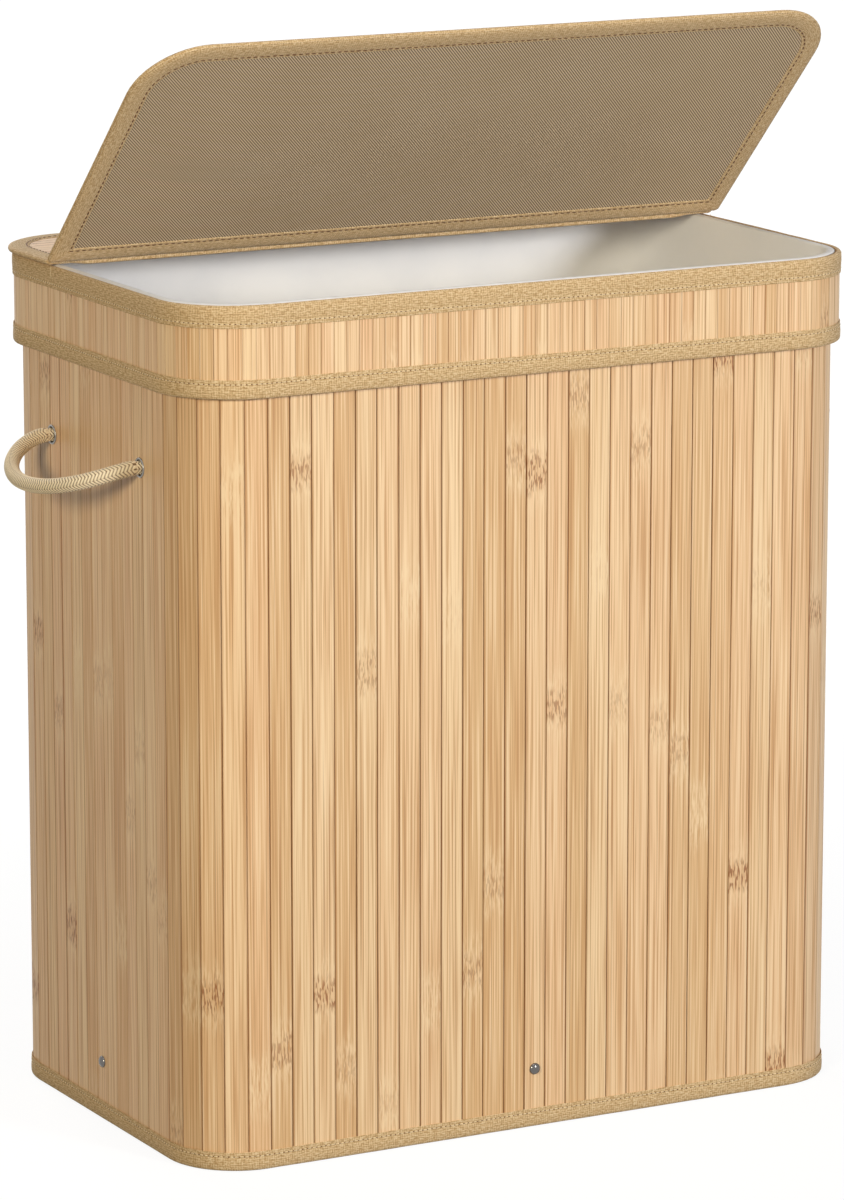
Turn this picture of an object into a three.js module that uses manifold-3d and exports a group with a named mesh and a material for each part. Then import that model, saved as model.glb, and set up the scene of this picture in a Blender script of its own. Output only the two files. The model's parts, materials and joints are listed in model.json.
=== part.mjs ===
// Two-bin laundry hamper: a slatted bamboo body with rope handles, a lift-off collar lid
// with a cloth-hinged flap, and a washable liner with a divider.
// Millimetres, +Z up. The origin is the centre of the base, on the floor. The front faces -Y.
import * as THREE from 'three';
import { mergeVertices } from 'three/addons/utils/BufferGeometryUtils.js';
import Module from 'manifold-3d';

const wasm = await Module();
wasm.setup();

// Fits shared by all pieces
const CLEARANCE = 0.3; // between pieces that touch, seat or run past each other
const GLUE_LINE = 0.1; // between layers that are glued flat
const OVERRUN = 5; // how far a cutter runs past what it cuts
const WELD = 0.0001; // vertices closer than this are one
const CORNER_SAG = 0.25; // how far a facet may fall inside a rounded corner

// Body wall
const BODY_LENGTH = 518.4; // over the slats, along X
const BODY_WIDTH = 318.4; // over the slats, along Y
const BODY_HEIGHT = 599.7; // to the top of the rim tape
const BODY_CORNER_RADIUS = 51;
const SLAT_THICKNESS = 2;
const BODY_SLAT_PITCH = 16.5;
const SLAT_GAP = 0.6; // width of the joint between two slats, at the face
const SLAT_GAP_DEPTH = 0.8;
const BACKING_THICKNESS = 0.5; // cloth that the slats are glued to

// Linen tape that edges the body and the collar
const TAPE_THICKNESS = 0.5;
const TAPE_EDGE = 0.25; // eased corner of a folded tape
const BASE_TAPE_DEPTH = 13.5;
const RIM_TAPE_DEPTH = 12;

// Base board, its angle brackets and their rivets
const BASE_BOARD_THICKNESS = 5;
const BRACKET_THICKNESS = 1.2;
const BRACKET_WIDTH = 24;
const BRACKET_HEIGHT = 24;
const BRACKET_FOOT = 22; // length of the foot under the board
const BRACKET_HEIGHT_OFF_FLOOR = 30;
const RIVET_HEIGHT = 42; // centre of the rivets above the floor
const RIVET_HEAD_RADIUS = 4.15;
const RIVET_HEAD_HEIGHT = 2.4;
const RIVET_SHANK_RADIUS = 2;
const RIVET_TAIL_RADIUS = 3.2;
const RIVET_TAIL_HEIGHT = 1;

// Rope handles, with their eyelets and knots
const ROPE_RADIUS = 5.2;
const HANDLE_SPAN = 142; // between the two holes
const HANDLE_HEIGHT = 479; // holes above the floor
const HANDLE_REACH = 47; // how far the loop stands out from its pivot line
const HANDLE_DROP = 17.6; // how far the loop's end hangs below its pivot line
const HANDLE_SAG_SHARE = 1.4; // exponent of the drop: 1 is straight, more leaves the wall level
const EYELET_WALL = 0.5;
const EYELET_FLANGE_WIDTH = 1.8;
const EYELET_FLANGE_THICKNESS = 0.6;
const KNOT_RADIUS = 10;
const KNOT_LENGTH = 16;

// Collar, the slatted band of the lid
const COLLAR_STAND_OFF = 5.5; // slat face of the collar outside the slat face of the body
const COLLAR_DEPTH = 63.8;
const COLLAR_SLAT_PITCH = 9.67;
const COLLAR_TOP_TAPE_DEPTH = 15.8;
const COLLAR_LOWER_TAPE_DEPTH = 13.5;

// Lid panels: the fixed rear panel and the opening flap
const PANEL_SLAT_THICKNESS = 1.2;
const PANEL_SLAT_PITCH = 9.67;
const PANEL_SLAT_GAP_DEPTH = 0.6;
const PANEL_BOARD_THICKNESS = 1.2;
const PANEL_LINING_THICKNESS = 0.4;
const BINDING_THICKNESS = 0.5;
const BINDING_EDGE = 1; // rounding of the binding round the panel's edge
const BINDING_WIDTH = 15.5;
const REAR_PANEL_OVERHANG = 3; // past the collar tape at the ends and the back
const FLAP_SIDE_OVERHANG = 4.8; // past the collar tape at the ends
const FLAP_FRONT_LIP = 13.5; // past the collar tape at the front, to lift the flap by
const FLAP_FRONT_RADIUS = 48.5;
const PANEL_HINGE_RADIUS = 4; // corners beside the hinge
const HINGE_SETBACK = 55; // hinge line behind the middle of the hamper
const HINGE_TAPE_THICKNESS = 0.4;
const HINGE_TAPE_WIDTH = 12;
const FLAP_OPEN_DEGREES = 44.6;

// Liner
const LINER_THICKNESS = 0.6;
const LINER_EDGE = 0.25; // eased corner of the folded hem
const LINER_HEM_DEPTH = 40; // how far the hem hangs down outside the rim
const LINER_TAPER_DEPTH = 55; // below the hem, where the liner draws in past the knots
const LINER_FLOOR_ROUND = 6;
const DIVIDER_THICKNESS = 1.2;
const DIVIDER_HEM_THICKNESS = 2.6;
const DIVIDER_HEM_DEPTH = 18;
const DIVIDER_DROP = 71; // top of the divider below the collar's top

// Facets
const ROPE_SIDES = 10;
const ROPE_STEPS = 24;
const ROUND_SIDES = 16;
const RIVET_SIDES = 12;
const DOME_STEPS = 3;
const KNOT_STEPS = 6;
const BINDING_EDGE_STEPS = 2;

// Offsets of each layer from the slat face of the body, positive outwards
const BACKING_OUTER = -SLAT_THICKNESS - GLUE_LINE;
const BACKING_INNER = BACKING_OUTER - BACKING_THICKNESS;
const TAPE_OUTER = CLEARANCE + TAPE_THICKNESS;
const TAPE_INNER = BACKING_INNER - GLUE_LINE - TAPE_THICKNESS;
const BRACKET_OUTER = BACKING_INNER - CLEARANCE;
const BRACKET_INNER = BRACKET_OUTER - BRACKET_THICKNESS;
const RIVET_TAIL_INNER = BRACKET_INNER - CLEARANCE - RIVET_TAIL_HEIGHT;
const EYELET_OUTER = CLEARANCE + EYELET_FLANGE_THICKNESS;
const EYELET_INNER = BACKING_INNER - CLEARANCE - EYELET_FLANGE_THICKNESS;
const KNOT_INNER = EYELET_INNER - CLEARANCE - KNOT_LENGTH;
const LINER_UPPER_OUTER = TAPE_INNER - CLEARANCE;
const LINER_LOWER_OUTER = RIVET_TAIL_INNER - CLEARANCE;
const LINER_END_OUTER = KNOT_INNER - CLEARANCE;
const LINER_HEM_INNER = TAPE_OUTER + CLEARANCE;
const LINER_HEM_OUTER = LINER_HEM_INNER + LINER_THICKNESS;
const COLLAR_INNER = COLLAR_STAND_OFF - SLAT_THICKNESS;
const COLLAR_BACKING_INNER = COLLAR_INNER - GLUE_LINE - BACKING_THICKNESS;
const COLLAR_TAPE_INNER = COLLAR_BACKING_INNER - GLUE_LINE - TAPE_THICKNESS;
const COLLAR_TAPE_OUTER = COLLAR_STAND_OFF + TAPE_OUTER;

// Heights
const TAPE_SEAT = TAPE_THICKNESS + CLEARANCE; // from a tape's fold to the slats inside it
const BASE_BOARD_BOTTOM = BRACKET_HEIGHT_OFF_FLOOR + BRACKET_THICKNESS + CLEARANCE;
const LINER_BOTTOM = BASE_BOARD_BOTTOM + BASE_BOARD_THICKNESS + CLEARANCE;
const COLLAR_TOP = BODY_HEIGHT + CLEARANCE + LINER_THICKNESS;
const COLLAR_BOTTOM = COLLAR_TOP - COLLAR_DEPTH;
const LINER_HEM_BOTTOM = COLLAR_TOP - LINER_HEM_DEPTH;
const LINER_TAPER_BOTTOM = LINER_HEM_BOTTOM - LINER_TAPER_DEPTH;
const DIVIDER_TOP = COLLAR_TOP - DIVIDER_DROP;
const PANEL_BOTTOM = COLLAR_TOP + CLEARANCE;
const LINING_BOTTOM = PANEL_BOTTOM + BINDING_THICKNESS + GLUE_LINE;
const BOARD_BOTTOM = LINING_BOTTOM + PANEL_LINING_THICKNESS + GLUE_LINE;
const PANEL_SLAT_BOTTOM = BOARD_BOTTOM + PANEL_BOARD_THICKNESS + GLUE_LINE;
const PANEL_SLAT_TOP = PANEL_SLAT_BOTTOM + PANEL_SLAT_THICKNESS;
const PANEL_TOP = PANEL_SLAT_TOP + GLUE_LINE + BINDING_THICKNESS;
const HINGE_TAPE_SETBACK = CLEARANCE / 2; // each half of the cloth stops this far beside and below the hinge line
const HINGE_HEIGHT = PANEL_TOP + GLUE_LINE + HINGE_TAPE_THICKNESS + HINGE_TAPE_SETBACK;

// Plan outline of the body wall, which every ring follows at its own offset
const HALF_LENGTH = BODY_LENGTH / 2;
const HALF_WIDTH = BODY_WIDTH / 2;

// Finishes
const finishes = {
  bamboo: { color: 0xe6c293, roughness: 0.5, metalness: 0 },
  collarBamboo: { color: 0xdfb888, roughness: 0.5, metalness: 0 },
  linenTape: { color: 0xcdb384, roughness: 0.9, metalness: 0 },
  backingCloth: { color: 0xd9cfbb, roughness: 0.95, metalness: 0 },
  fibreboard: { color: 0xa98a63, roughness: 0.8, metalness: 0 },
  oxfordLining: { color: 0x9c8264, roughness: 0.85, metalness: 0 },
  zincPlatedSteel: { color: 0xb9bcc0, roughness: 0.35, metalness: 1 },
  chromedSteel: { color: 0xd6d8db, roughness: 0.12, metalness: 1 },
  cottonRope: { color: 0xe3cd9f, roughness: 0.9, metalness: 0 },
  linerCloth: { color: 0xe9e6e3, roughness: 0.9, metalness: 0 },
};

// Solids

// Six times the volume that the triangles enclose, negative where they face inwards
function enclosedVolume(position, index) {
  const a = new THREE.Vector3();
  const b = new THREE.Vector3();
  const c = new THREE.Vector3();
  let sum = 0;
  for (let i = 0; i < index.length; i += 3) {
    a.fromBufferAttribute(position, index[i]);
    b.fromBufferAttribute(position, index[i + 1]);
    c.fromBufferAttribute(position, index[i + 2]);
    sum += a.dot(b.cross(c));
  }
  return sum;
}

// Welds a geometry's vertices, drops its collapsed triangles and turns its faces outwards
function closedSolid(geometry) {
  geometry.deleteAttribute('normal');
  geometry.deleteAttribute('uv');
  const welded = mergeVertices(geometry, WELD);
  const source = welded.index.array;
  const index = [];
  for (let i = 0; i < source.length; i += 3) {
    const [a, b, c] = [source[i], source[i + 1], source[i + 2]];
    if (a !== b && b !== c && c !== a) {
      index.push(a, b, c);
    }
  }
  if (enclosedVolume(welded.attributes.position, index) < 0) {
    index.reverse();
  }
  welded.setIndex(index);
  return welded;
}

// A closed geometry as a solid that can be joined and cut
function toManifold(geometry) {
  const solid = closedSolid(geometry.clone());
  return new wasm.Manifold(
    new wasm.Mesh({
      numProp: 3,
      vertProperties: new Float32Array(solid.attributes.position.array),
      triVerts: new Uint32Array(solid.index.array),
    }),
  );
}

function toGeometry(manifold) {
  const { vertProperties, triVerts } = manifold.getMesh();
  const geometry = new THREE.BufferGeometry();
  geometry.setAttribute('position', new THREE.BufferAttribute(vertProperties, 3));
  geometry.setIndex(new THREE.BufferAttribute(triVerts, 1));
  return geometry;
}

function cut(geometry, cutters) {
  return toGeometry(cutters.reduce((solid, cutter) => solid.subtract(toManifold(cutter)), toManifold(geometry)));
}

function join(geometry, additions) {
  return toGeometry(additions.reduce((solid, piece) => solid.add(toManifold(piece)), toManifold(geometry)));
}

function overlap(geometry, other) {
  return toGeometry(toManifold(geometry).intersect(toManifold(other)));
}

// A geometry from rings of points: closed on itself, or capped by a fan at its first and last ring
function loft(rings, isLoop) {
  const count = rings[0].length;
  const points = rings.flat();
  const index = [];
  const bands = isLoop ? rings.length : rings.length - 1;
  for (let band = 0; band < bands; band += 1) {
    const low = band * count;
    const high = ((band + 1) % rings.length) * count;
    for (let i = 0; i < count; i += 1) {
      const next = (i + 1) % count;
      index.push(low + i, low + next, high + next);
      index.push(low + i, high + next, high + i);
    }
  }
  if (!isLoop) {
    for (const [ring, isLast] of [[0, false], [rings.length - 1, true]]) {
      const middle = rings[ring].reduce((sum, point) => sum.add(point), new THREE.Vector3());
      points.push(middle.divideScalar(count));
      for (let i = 0; i < count; i += 1) {
        const edge = [ring * count + i, ring * count + ((i + 1) % count)];
        index.push(points.length - 1, ...(isLast ? edge : edge.reverse()));
      }
    }
  }
  const geometry = new THREE.BufferGeometry().setFromPoints(points);
  geometry.setIndex(index);
  return geometry;
}

// Plan outlines

// Facets that a quarter turn of this radius needs
function quarterSteps(radius) {
  return Math.ceil(Math.PI / 4 / Math.acos(1 - CORNER_SAG / radius));
}

const WALL_STEPS = quarterSteps(BODY_CORNER_RADIUS + COLLAR_TAPE_OUTER);

// Points of a rounded rectangle, anticlockwise from its +X side
function roundedRectangle(halfX, halfY, radius, steps) {
  const points = [];
  for (let corner = 0; corner < 4; corner += 1) {
    const centreX = (corner === 0 || corner === 3 ? 1 : -1) * (halfX - radius);
    const centreY = (corner < 2 ? 1 : -1) * (halfY - radius);
    for (let step = 0; step <= steps; step += 1) {
      const angle = ((corner + step / steps) * Math.PI) / 2;
      points.push(new THREE.Vector2(centreX + radius * Math.cos(angle), centreY + radius * Math.sin(angle)));
    }
  }
  return points;
}

// The wall's outline, moved outwards by one offset at the ends and another at the front and back
function wallOutline(endOffset, sideOffset = endOffset) {
  const radius = BODY_CORNER_RADIUS + Math.max(endOffset, sideOffset);
  return roundedRectangle(HALF_LENGTH + endOffset, HALF_WIDTH + sideOffset, radius, WALL_STEPS);
}

function atHeight(outline, height) {
  return outline.map((point) => new THREE.Vector3(point.x, point.y, height));
}

// A band round the wall, from the offsets and heights of its cross-section
function wallRing(section) {
  return loft(section.map(([offset, height]) => atHeight(wallOutline(offset), height)), true);
}

// A flat plate between two heights
function plate(outline, bottom, top, holes = []) {
  const shape = new THREE.Shape(outline);
  shape.holes = holes.map((hole) => new THREE.Path(hole));
  const geometry = new THREE.ExtrudeGeometry(shape, { depth: top - bottom, bevelEnabled: false });
  return geometry.translate(0, 0, bottom);
}

// Slatted walls

// The point at a distance round the wall from the middle of its front, moved outwards by an offset
function pointRoundWall(face, distance, offset) {
  const radius = BODY_CORNER_RADIUS + face;
  const halfFront = HALF_LENGTH - BODY_CORNER_RADIUS;
  const halfEnd = HALF_WIDTH - BODY_CORNER_RADIUS;
  const corner = (radius * Math.PI) / 2;
  const half = 2 * (halfFront + halfEnd + corner);
  const isFarHalf = distance >= half;
  const along = isFarHalf ? distance - half : distance;
  let point;
  if (along < halfFront) {
    point = new THREE.Vector2(along, -halfEnd - radius - offset);
  } else if (along < halfFront + corner) {
    const angle = (along - halfFront) / radius;
    const reach = radius + offset;
    point = new THREE.Vector2(halfFront + reach * Math.sin(angle), -halfEnd - reach * Math.cos(angle));
  } else if (along < halfFront + corner + 2 * halfEnd) {
    point = new THREE.Vector2(halfFront + radius + offset, along - halfFront - corner - halfEnd);
  } else if (along < halfFront + 2 * (corner + halfEnd)) {
    const angle = (along - halfFront - corner - 2 * halfEnd) / radius;
    const reach = radius + offset;
    point = new THREE.Vector2(halfFront + reach * Math.cos(angle), halfEnd + reach * Math.sin(angle));
  } else {
    point = new THREE.Vector2(half - along, halfEnd + radius + offset);
  }
  return isFarHalf ? point.negate() : point;
}

function wallPerimeter(face) {
  return 4 * (HALF_LENGTH + HALF_WIDTH - 2 * BODY_CORNER_RADIUS) + 2 * Math.PI * (BODY_CORNER_RADIUS + face);
}

// The outer outline of a slatted wall: flat slats that fan round the corners, with a joint between
// each two. A slat is centred on the front, on the back and on each end.
function slatOutline(face, pitch) {
  const perimeter = wallPerimeter(face);
  const count = 4 * Math.round(perimeter / pitch / 4);
  const step = perimeter / count;
  const outline = [];
  for (let slat = 0; slat < count; slat += 1) {
    const joint = (slat + 1 / 2) * step;
    outline.push(pointRoundWall(face, joint - SLAT_GAP / 2, 0));
    outline.push(pointRoundWall(face, joint, -SLAT_GAP_DEPTH));
    outline.push(pointRoundWall(face, joint + SLAT_GAP / 2, 0));
  }
  return outline;
}

// Slats glued side by side round the wall, as one rolled mat
function slatMat(face, pitch, bottom, top) {
  return plate(slatOutline(face, pitch), bottom, top, [wallOutline(face - SLAT_THICKNESS)]);
}

// The cloth behind a slat mat
function backingCloth(face, bottom, top) {
  const outer = face - SLAT_THICKNESS - GLUE_LINE;
  return plate(wallOutline(outer), bottom, top, [wallOutline(outer - BACKING_THICKNESS)]);
}

// A tape folded over an edge of the wall: its fold lies at one height, its free edges at the other
function foldedTape(outer, inner, fold, free) {
  const up = Math.sign(free - fold);
  const ease = up * TAPE_EDGE;
  const lining = fold + up * TAPE_THICKNESS;
  return wallRing([
    [outer, free],
    [outer, fold + ease],
    [outer - TAPE_EDGE, fold],
    [inner + TAPE_EDGE, fold],
    [inner, fold + ease],
    [inner, free],
    [inner + TAPE_THICKNESS, free],
    [inner + TAPE_THICKNESS, lining],
    [outer - TAPE_THICKNESS, lining],
    [outer - TAPE_THICKNESS, free],
  ]);
}

// Turned pieces. Their axis is Y, with -Y out of the wall and the slat face at zero.

function turned(profile, sides) {
  const points = profile.map(([radius, depth]) => new THREE.Vector2(radius, depth));
  return new THREE.LatheGeometry(points, sides);
}

// A straight bore along the axis, through the whole wall
function wallBore(radius, sides) {
  const length = 2 * (KNOT_LENGTH + OVERRUN);
  return new THREE.CylinderGeometry(radius, radius, length, sides);
}

const RIVET_BORE = RIVET_SHANK_RADIUS + CLEARANCE;

// A domed head outside, a shank through the wall and the bracket, and a flat tail inside
function rivet() {
  const profile = [];
  for (let step = 0; step <= DOME_STEPS; step += 1) {
    const angle = ((step / DOME_STEPS) * Math.PI) / 2;
    profile.push([RIVET_HEAD_RADIUS * Math.sin(angle), -CLEARANCE - RIVET_HEAD_HEIGHT * Math.cos(angle)]);
  }
  profile.push([RIVET_SHANK_RADIUS, -CLEARANCE]);
  profile.push([RIVET_SHANK_RADIUS, -BRACKET_INNER + CLEARANCE]);
  profile.push([RIVET_TAIL_RADIUS, -BRACKET_INNER + CLEARANCE]);
  profile.push([RIVET_TAIL_RADIUS, -RIVET_TAIL_INNER]);
  profile.push([0, -RIVET_TAIL_INNER]);
  return turned(profile, RIVET_SIDES);
}

const EYELET_BORE = ROPE_RADIUS + CLEARANCE;
const EYELET_BARREL = EYELET_BORE + EYELET_WALL;
const EYELET_FLANGE_RADIUS = EYELET_BARREL + EYELET_FLANGE_WIDTH;

// A barrel through the wall with a flange on each side of it
function eyelet() {
  return turned(
    [
      [EYELET_BORE, -EYELET_OUTER],
      [EYELET_FLANGE_RADIUS - EYELET_FLANGE_THICKNESS, -EYELET_OUTER],
      [EYELET_FLANGE_RADIUS, -CLEARANCE],
      [EYELET_BARREL, -CLEARANCE],
      [EYELET_BARREL, -BACKING_INNER + CLEARANCE],
      [EYELET_FLANGE_RADIUS, -BACKING_INNER + CLEARANCE],
      [EYELET_FLANGE_RADIUS - EYELET_FLANGE_THICKNESS, -EYELET_INNER],
      [EYELET_BORE, -EYELET_INNER],
      [EYELET_BORE, -EYELET_OUTER],
    ],
    ROUND_SIDES,
  );
}

// The rope's end, pulled through an eyelet and knotted inside the wall
function knot() {
  const profile = [
    [0, -EYELET_OUTER],
    [ROPE_RADIUS, -EYELET_OUTER],
  ];
  const middle = -EYELET_INNER + CLEARANCE + KNOT_LENGTH / 2;
  const start = Math.asin(ROPE_RADIUS / KNOT_RADIUS);
  for (let step = 0; step < KNOT_STEPS; step += 1) {
    const angle = start + ((Math.PI - start) * step) / KNOT_STEPS;
    profile.push([KNOT_RADIUS * Math.sin(angle), middle - (KNOT_LENGTH / 2) * Math.cos(angle)]);
  }
  profile.push([0, -KNOT_INNER]);
  return turned(profile, ROPE_SIDES);
}

// The rope loop, from one pivot to the other: it leaves the wall level, then hangs as it reaches out
function ropeLoop() {
  const points = [];
  for (let step = 0; step <= ROPE_STEPS; step += 1) {
    const angle = (step / ROPE_STEPS) * Math.PI;
    const out = Math.sin(angle);
    points.push(
      new THREE.Vector3(
        (HANDLE_SPAN / 2) * Math.cos(angle),
        -HANDLE_REACH * out,
        -HANDLE_DROP * Math.max(out, 0) ** HANDLE_SAG_SHARE,
      ),
    );
  }
  const path = new THREE.CatmullRomCurve3(points, false, 'centripetal');
  const section = new THREE.Shape(
    Array.from({ length: ROPE_SIDES }, (_, side) => {
      const angle = (side / ROPE_SIDES) * 2 * Math.PI;
      return new THREE.Vector2(ROPE_RADIUS * Math.cos(angle), ROPE_RADIUS * Math.sin(angle));
    }),
  );
  const tube = new THREE.ExtrudeGeometry(section, { steps: ROPE_STEPS, extrudePath: path });
  const ends = [-1, 1].map((side) => {
    const ball = new THREE.SphereGeometry(ROPE_RADIUS, ROPE_SIDES, ROPE_SIDES / 2);
    return ball.translate((side * HANDLE_SPAN) / 2, 0, 0);
  });
  return join(tube, ends);
}

// Turns a section drawn in X and Y and extruded along Z to one drawn in Y and Z that runs along X
const SECTION_TURN = new THREE.Matrix4().makeBasis(
  new THREE.Vector3(0, 1, 0),
  new THREE.Vector3(0, 0, 1),
  new THREE.Vector3(1, 0, 0),
);

// Extrudes a section, drawn in Y and Z, along X, centred on X = 0
function extrudeAlongX(section, length) {
  const shape = new THREE.Shape(section.map(([y, z]) => new THREE.Vector2(y, z)));
  const geometry = new THREE.ExtrudeGeometry(shape, { depth: length, bevelEnabled: false });
  return geometry.translate(0, 0, -length / 2).applyMatrix4(SECTION_TURN);
}

// An angle bracket with a hole for its rivet, its foot at zero height
function bracket() {
  const section = [
    [-BRACKET_OUTER, 0],
    [-BRACKET_INNER + BRACKET_FOOT, 0],
    [-BRACKET_INNER + BRACKET_FOOT, BRACKET_THICKNESS],
    [-BRACKET_INNER, BRACKET_THICKNESS],
    [-BRACKET_INNER, BRACKET_HEIGHT],
    [-BRACKET_OUTER, BRACKET_HEIGHT],
  ];
  const hole = wallBore(RIVET_BORE, RIVET_SIDES).translate(0, 0, RIVET_HEIGHT - BRACKET_HEIGHT_OFF_FLOOR);
  return cut(extrudeAlongX(section, BRACKET_WIDTH), [hole]);
}

// Lid panels

const PANEL_LAYER_INSET = BINDING_THICKNESS + CLEARANCE;

// The outline of a lid panel, drawn in from its edge by an inset
function panelOutline(panel, inset) {
  const corners = [
    [panel.halfWidth, panel.back, panel.backRadius],
    [-panel.halfWidth, panel.back, panel.backRadius],
    [-panel.halfWidth, panel.front, panel.frontRadius],
    [panel.halfWidth, panel.front, panel.frontRadius],
  ];
  return corners.flatMap(([x, y, fullRadius], corner) => {
    const radius = Math.max(fullRadius - inset, BINDING_EDGE);
    const steps = quarterSteps(fullRadius);
    const centreX = x - Math.sign(x) * (inset + radius);
    const centreY = y - (corner < 2 ? 1 : -1) * (inset + radius);
    return Array.from({ length: steps + 1 }, (_, step) => {
      const angle = ((corner + step / steps) * Math.PI) / 2;
      return new THREE.Vector2(centreX + radius * Math.cos(angle), centreY + radius * Math.sin(angle));
    });
  });
}

// Slats glued side by side along X, trimmed to the panel's outline
function panelSlats(panel) {
  const depth = panel.back - panel.front;
  const count = Math.round(depth / PANEL_SLAT_PITCH);
  const step = depth / count;
  const section = [
    [panel.front - OVERRUN, PANEL_SLAT_BOTTOM],
    [panel.back + OVERRUN, PANEL_SLAT_BOTTOM],
    [panel.back + OVERRUN, PANEL_SLAT_TOP],
  ];
  for (let joint = count - 1; joint > 0; joint -= 1) {
    const y = panel.front + joint * step;
    section.push([y + SLAT_GAP / 2, PANEL_SLAT_TOP]);
    section.push([y, PANEL_SLAT_TOP - PANEL_SLAT_GAP_DEPTH]);
    section.push([y - SLAT_GAP / 2, PANEL_SLAT_TOP]);
  }
  section.push([panel.front - OVERRUN, PANEL_SLAT_TOP]);
  const mat = extrudeAlongX(section, 2 * (panel.halfWidth + OVERRUN));
  const trim = plate(panelOutline(panel, PANEL_LAYER_INSET), PANEL_SLAT_BOTTOM - OVERRUN, PANEL_SLAT_TOP + OVERRUN);
  return overlap(mat, trim);
}

// A flat layer inside the binding
function panelLayer(panel, bottom, thickness) {
  return plate(panelOutline(panel, PANEL_LAYER_INSET), bottom, bottom + thickness);
}

// Cloth folded round the panel's edge, open in the middle above and below, with a slot for the layers
function panelBinding(panel) {
  const slab = new THREE.ExtrudeGeometry(new THREE.Shape(panelOutline(panel, BINDING_EDGE)), {
    depth: PANEL_TOP - PANEL_BOTTOM - 2 * BINDING_EDGE,
    bevelSize: BINDING_EDGE,
    bevelThickness: BINDING_EDGE,
    bevelSegments: BINDING_EDGE_STEPS,
  });
  slab.translate(0, 0, PANEL_BOTTOM + BINDING_EDGE);
  const window = plate(panelOutline(panel, BINDING_WIDTH), PANEL_BOTTOM - OVERRUN, PANEL_TOP + OVERRUN);
  const slotBottom = PANEL_BOTTOM + BINDING_THICKNESS;
  const slot = plate(panelOutline(panel, BINDING_THICKNESS), slotBottom, PANEL_TOP - BINDING_THICKNESS);
  return cut(slab, [window, slot]);
}

// Liner

const LINER_END_INNER = LINER_END_OUTER - LINER_THICKNESS;
const LINER_SIDE_INNER = LINER_LOWER_OUTER - LINER_THICKNESS;
const LINER_UPPER_INNER = LINER_UPPER_OUTER - LINER_THICKNESS;

// A bag that hangs from its hem, folded over the rim. It draws in at the ends to pass the knots.
function linerBag() {
  const ring = (endOffset, sideOffset, height) => atHeight(wallOutline(endOffset, sideOffset), height);
  const floor = LINER_BOTTOM + LINER_THICKNESS;
  const round = LINER_FLOOR_ROUND;
  const foldTop = COLLAR_TOP;
  return loft(
    [
      ring(LINER_END_INNER - round, LINER_SIDE_INNER - round, floor),
      ring(LINER_END_INNER, LINER_SIDE_INNER, floor + round),
      ring(LINER_END_INNER, LINER_SIDE_INNER, LINER_TAPER_BOTTOM),
      ring(LINER_UPPER_INNER, LINER_UPPER_INNER, LINER_HEM_BOTTOM),
      ring(LINER_UPPER_INNER, LINER_UPPER_INNER, foldTop - LINER_EDGE),
      ring(LINER_UPPER_INNER + LINER_EDGE, LINER_UPPER_INNER + LINER_EDGE, foldTop),
      ring(LINER_HEM_OUTER - LINER_EDGE, LINER_HEM_OUTER - LINER_EDGE, foldTop),
      ring(LINER_HEM_OUTER, LINER_HEM_OUTER, foldTop - LINER_EDGE),
      ring(LINER_HEM_OUTER, LINER_HEM_OUTER, LINER_HEM_BOTTOM),
      ring(LINER_HEM_INNER, LINER_HEM_INNER, LINER_HEM_BOTTOM),
      ring(LINER_HEM_INNER, LINER_HEM_INNER, foldTop - LINER_THICKNESS),
      ring(LINER_UPPER_OUTER, LINER_UPPER_OUTER, foldTop - LINER_THICKNESS),
      ring(LINER_UPPER_OUTER, LINER_UPPER_OUTER, LINER_HEM_BOTTOM),
      ring(LINER_END_OUTER, LINER_LOWER_OUTER, LINER_TAPER_BOTTOM),
      ring(LINER_END_OUTER, LINER_LOWER_OUTER, LINER_BOTTOM + round),
      ring(LINER_END_OUTER - round, LINER_LOWER_OUTER - round, LINER_BOTTOM),
    ],
    false,
  );
}

// The cloth wall between the two bins, with a hem along its top
function linerDivider() {
  const halfSpan = HALF_WIDTH + LINER_SIDE_INNER - CLEARANCE;
  const floor = LINER_BOTTOM + LINER_THICKNESS + CLEARANCE;
  const round = LINER_FLOOR_ROUND;
  const cloth = [
    [-halfSpan + round, floor],
    [halfSpan - round, floor],
    [halfSpan, floor + round],
    [halfSpan, DIVIDER_TOP - DIVIDER_HEM_THICKNESS / 2],
    [-halfSpan, DIVIDER_TOP - DIVIDER_HEM_THICKNESS / 2],
    [-halfSpan, floor + round],
  ];
  const hem = [
    [-halfSpan, DIVIDER_TOP - DIVIDER_HEM_DEPTH],
    [halfSpan, DIVIDER_TOP - DIVIDER_HEM_DEPTH],
    [halfSpan, DIVIDER_TOP],
    [-halfSpan, DIVIDER_TOP],
  ];
  return join(extrudeAlongX(cloth, DIVIDER_THICKNESS), [extrudeAlongX(hem, DIVIDER_HEM_THICKNESS)]);
}

// Assembly

function piece(name, geometry, finish) {
  const mesh = new THREE.Mesh(closedSolid(geometry), new THREE.MeshStandardMaterial(finish));
  mesh.name = name;
  return mesh;
}

// The four walls: how far each is turned from the front, and where its slat face lies
const WALLS = [
  { name: 'front', turn: 0, distance: HALF_WIDTH, hasHandle: false },
  { name: 'right', turn: Math.PI / 2, distance: HALF_LENGTH, hasHandle: true },
  { name: 'back', turn: Math.PI, distance: HALF_WIDTH, hasHandle: false },
  { name: 'left', turn: -Math.PI / 2, distance: HALF_LENGTH, hasHandle: true },
];
const END_WALLS = WALLS.filter((wall) => wall.hasHandle);

// A place on a wall: across from its middle and up from the floor, with -Y out of the wall
function placeOnWall(wall, across, height) {
  return new THREE.Matrix4()
    .makeRotationZ(wall.turn)
    .multiply(new THREE.Matrix4().makeTranslation(across, -wall.distance, height));
}

function placed(mesh, matrix) {
  mesh.applyMatrix4(matrix);
  return mesh;
}

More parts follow.
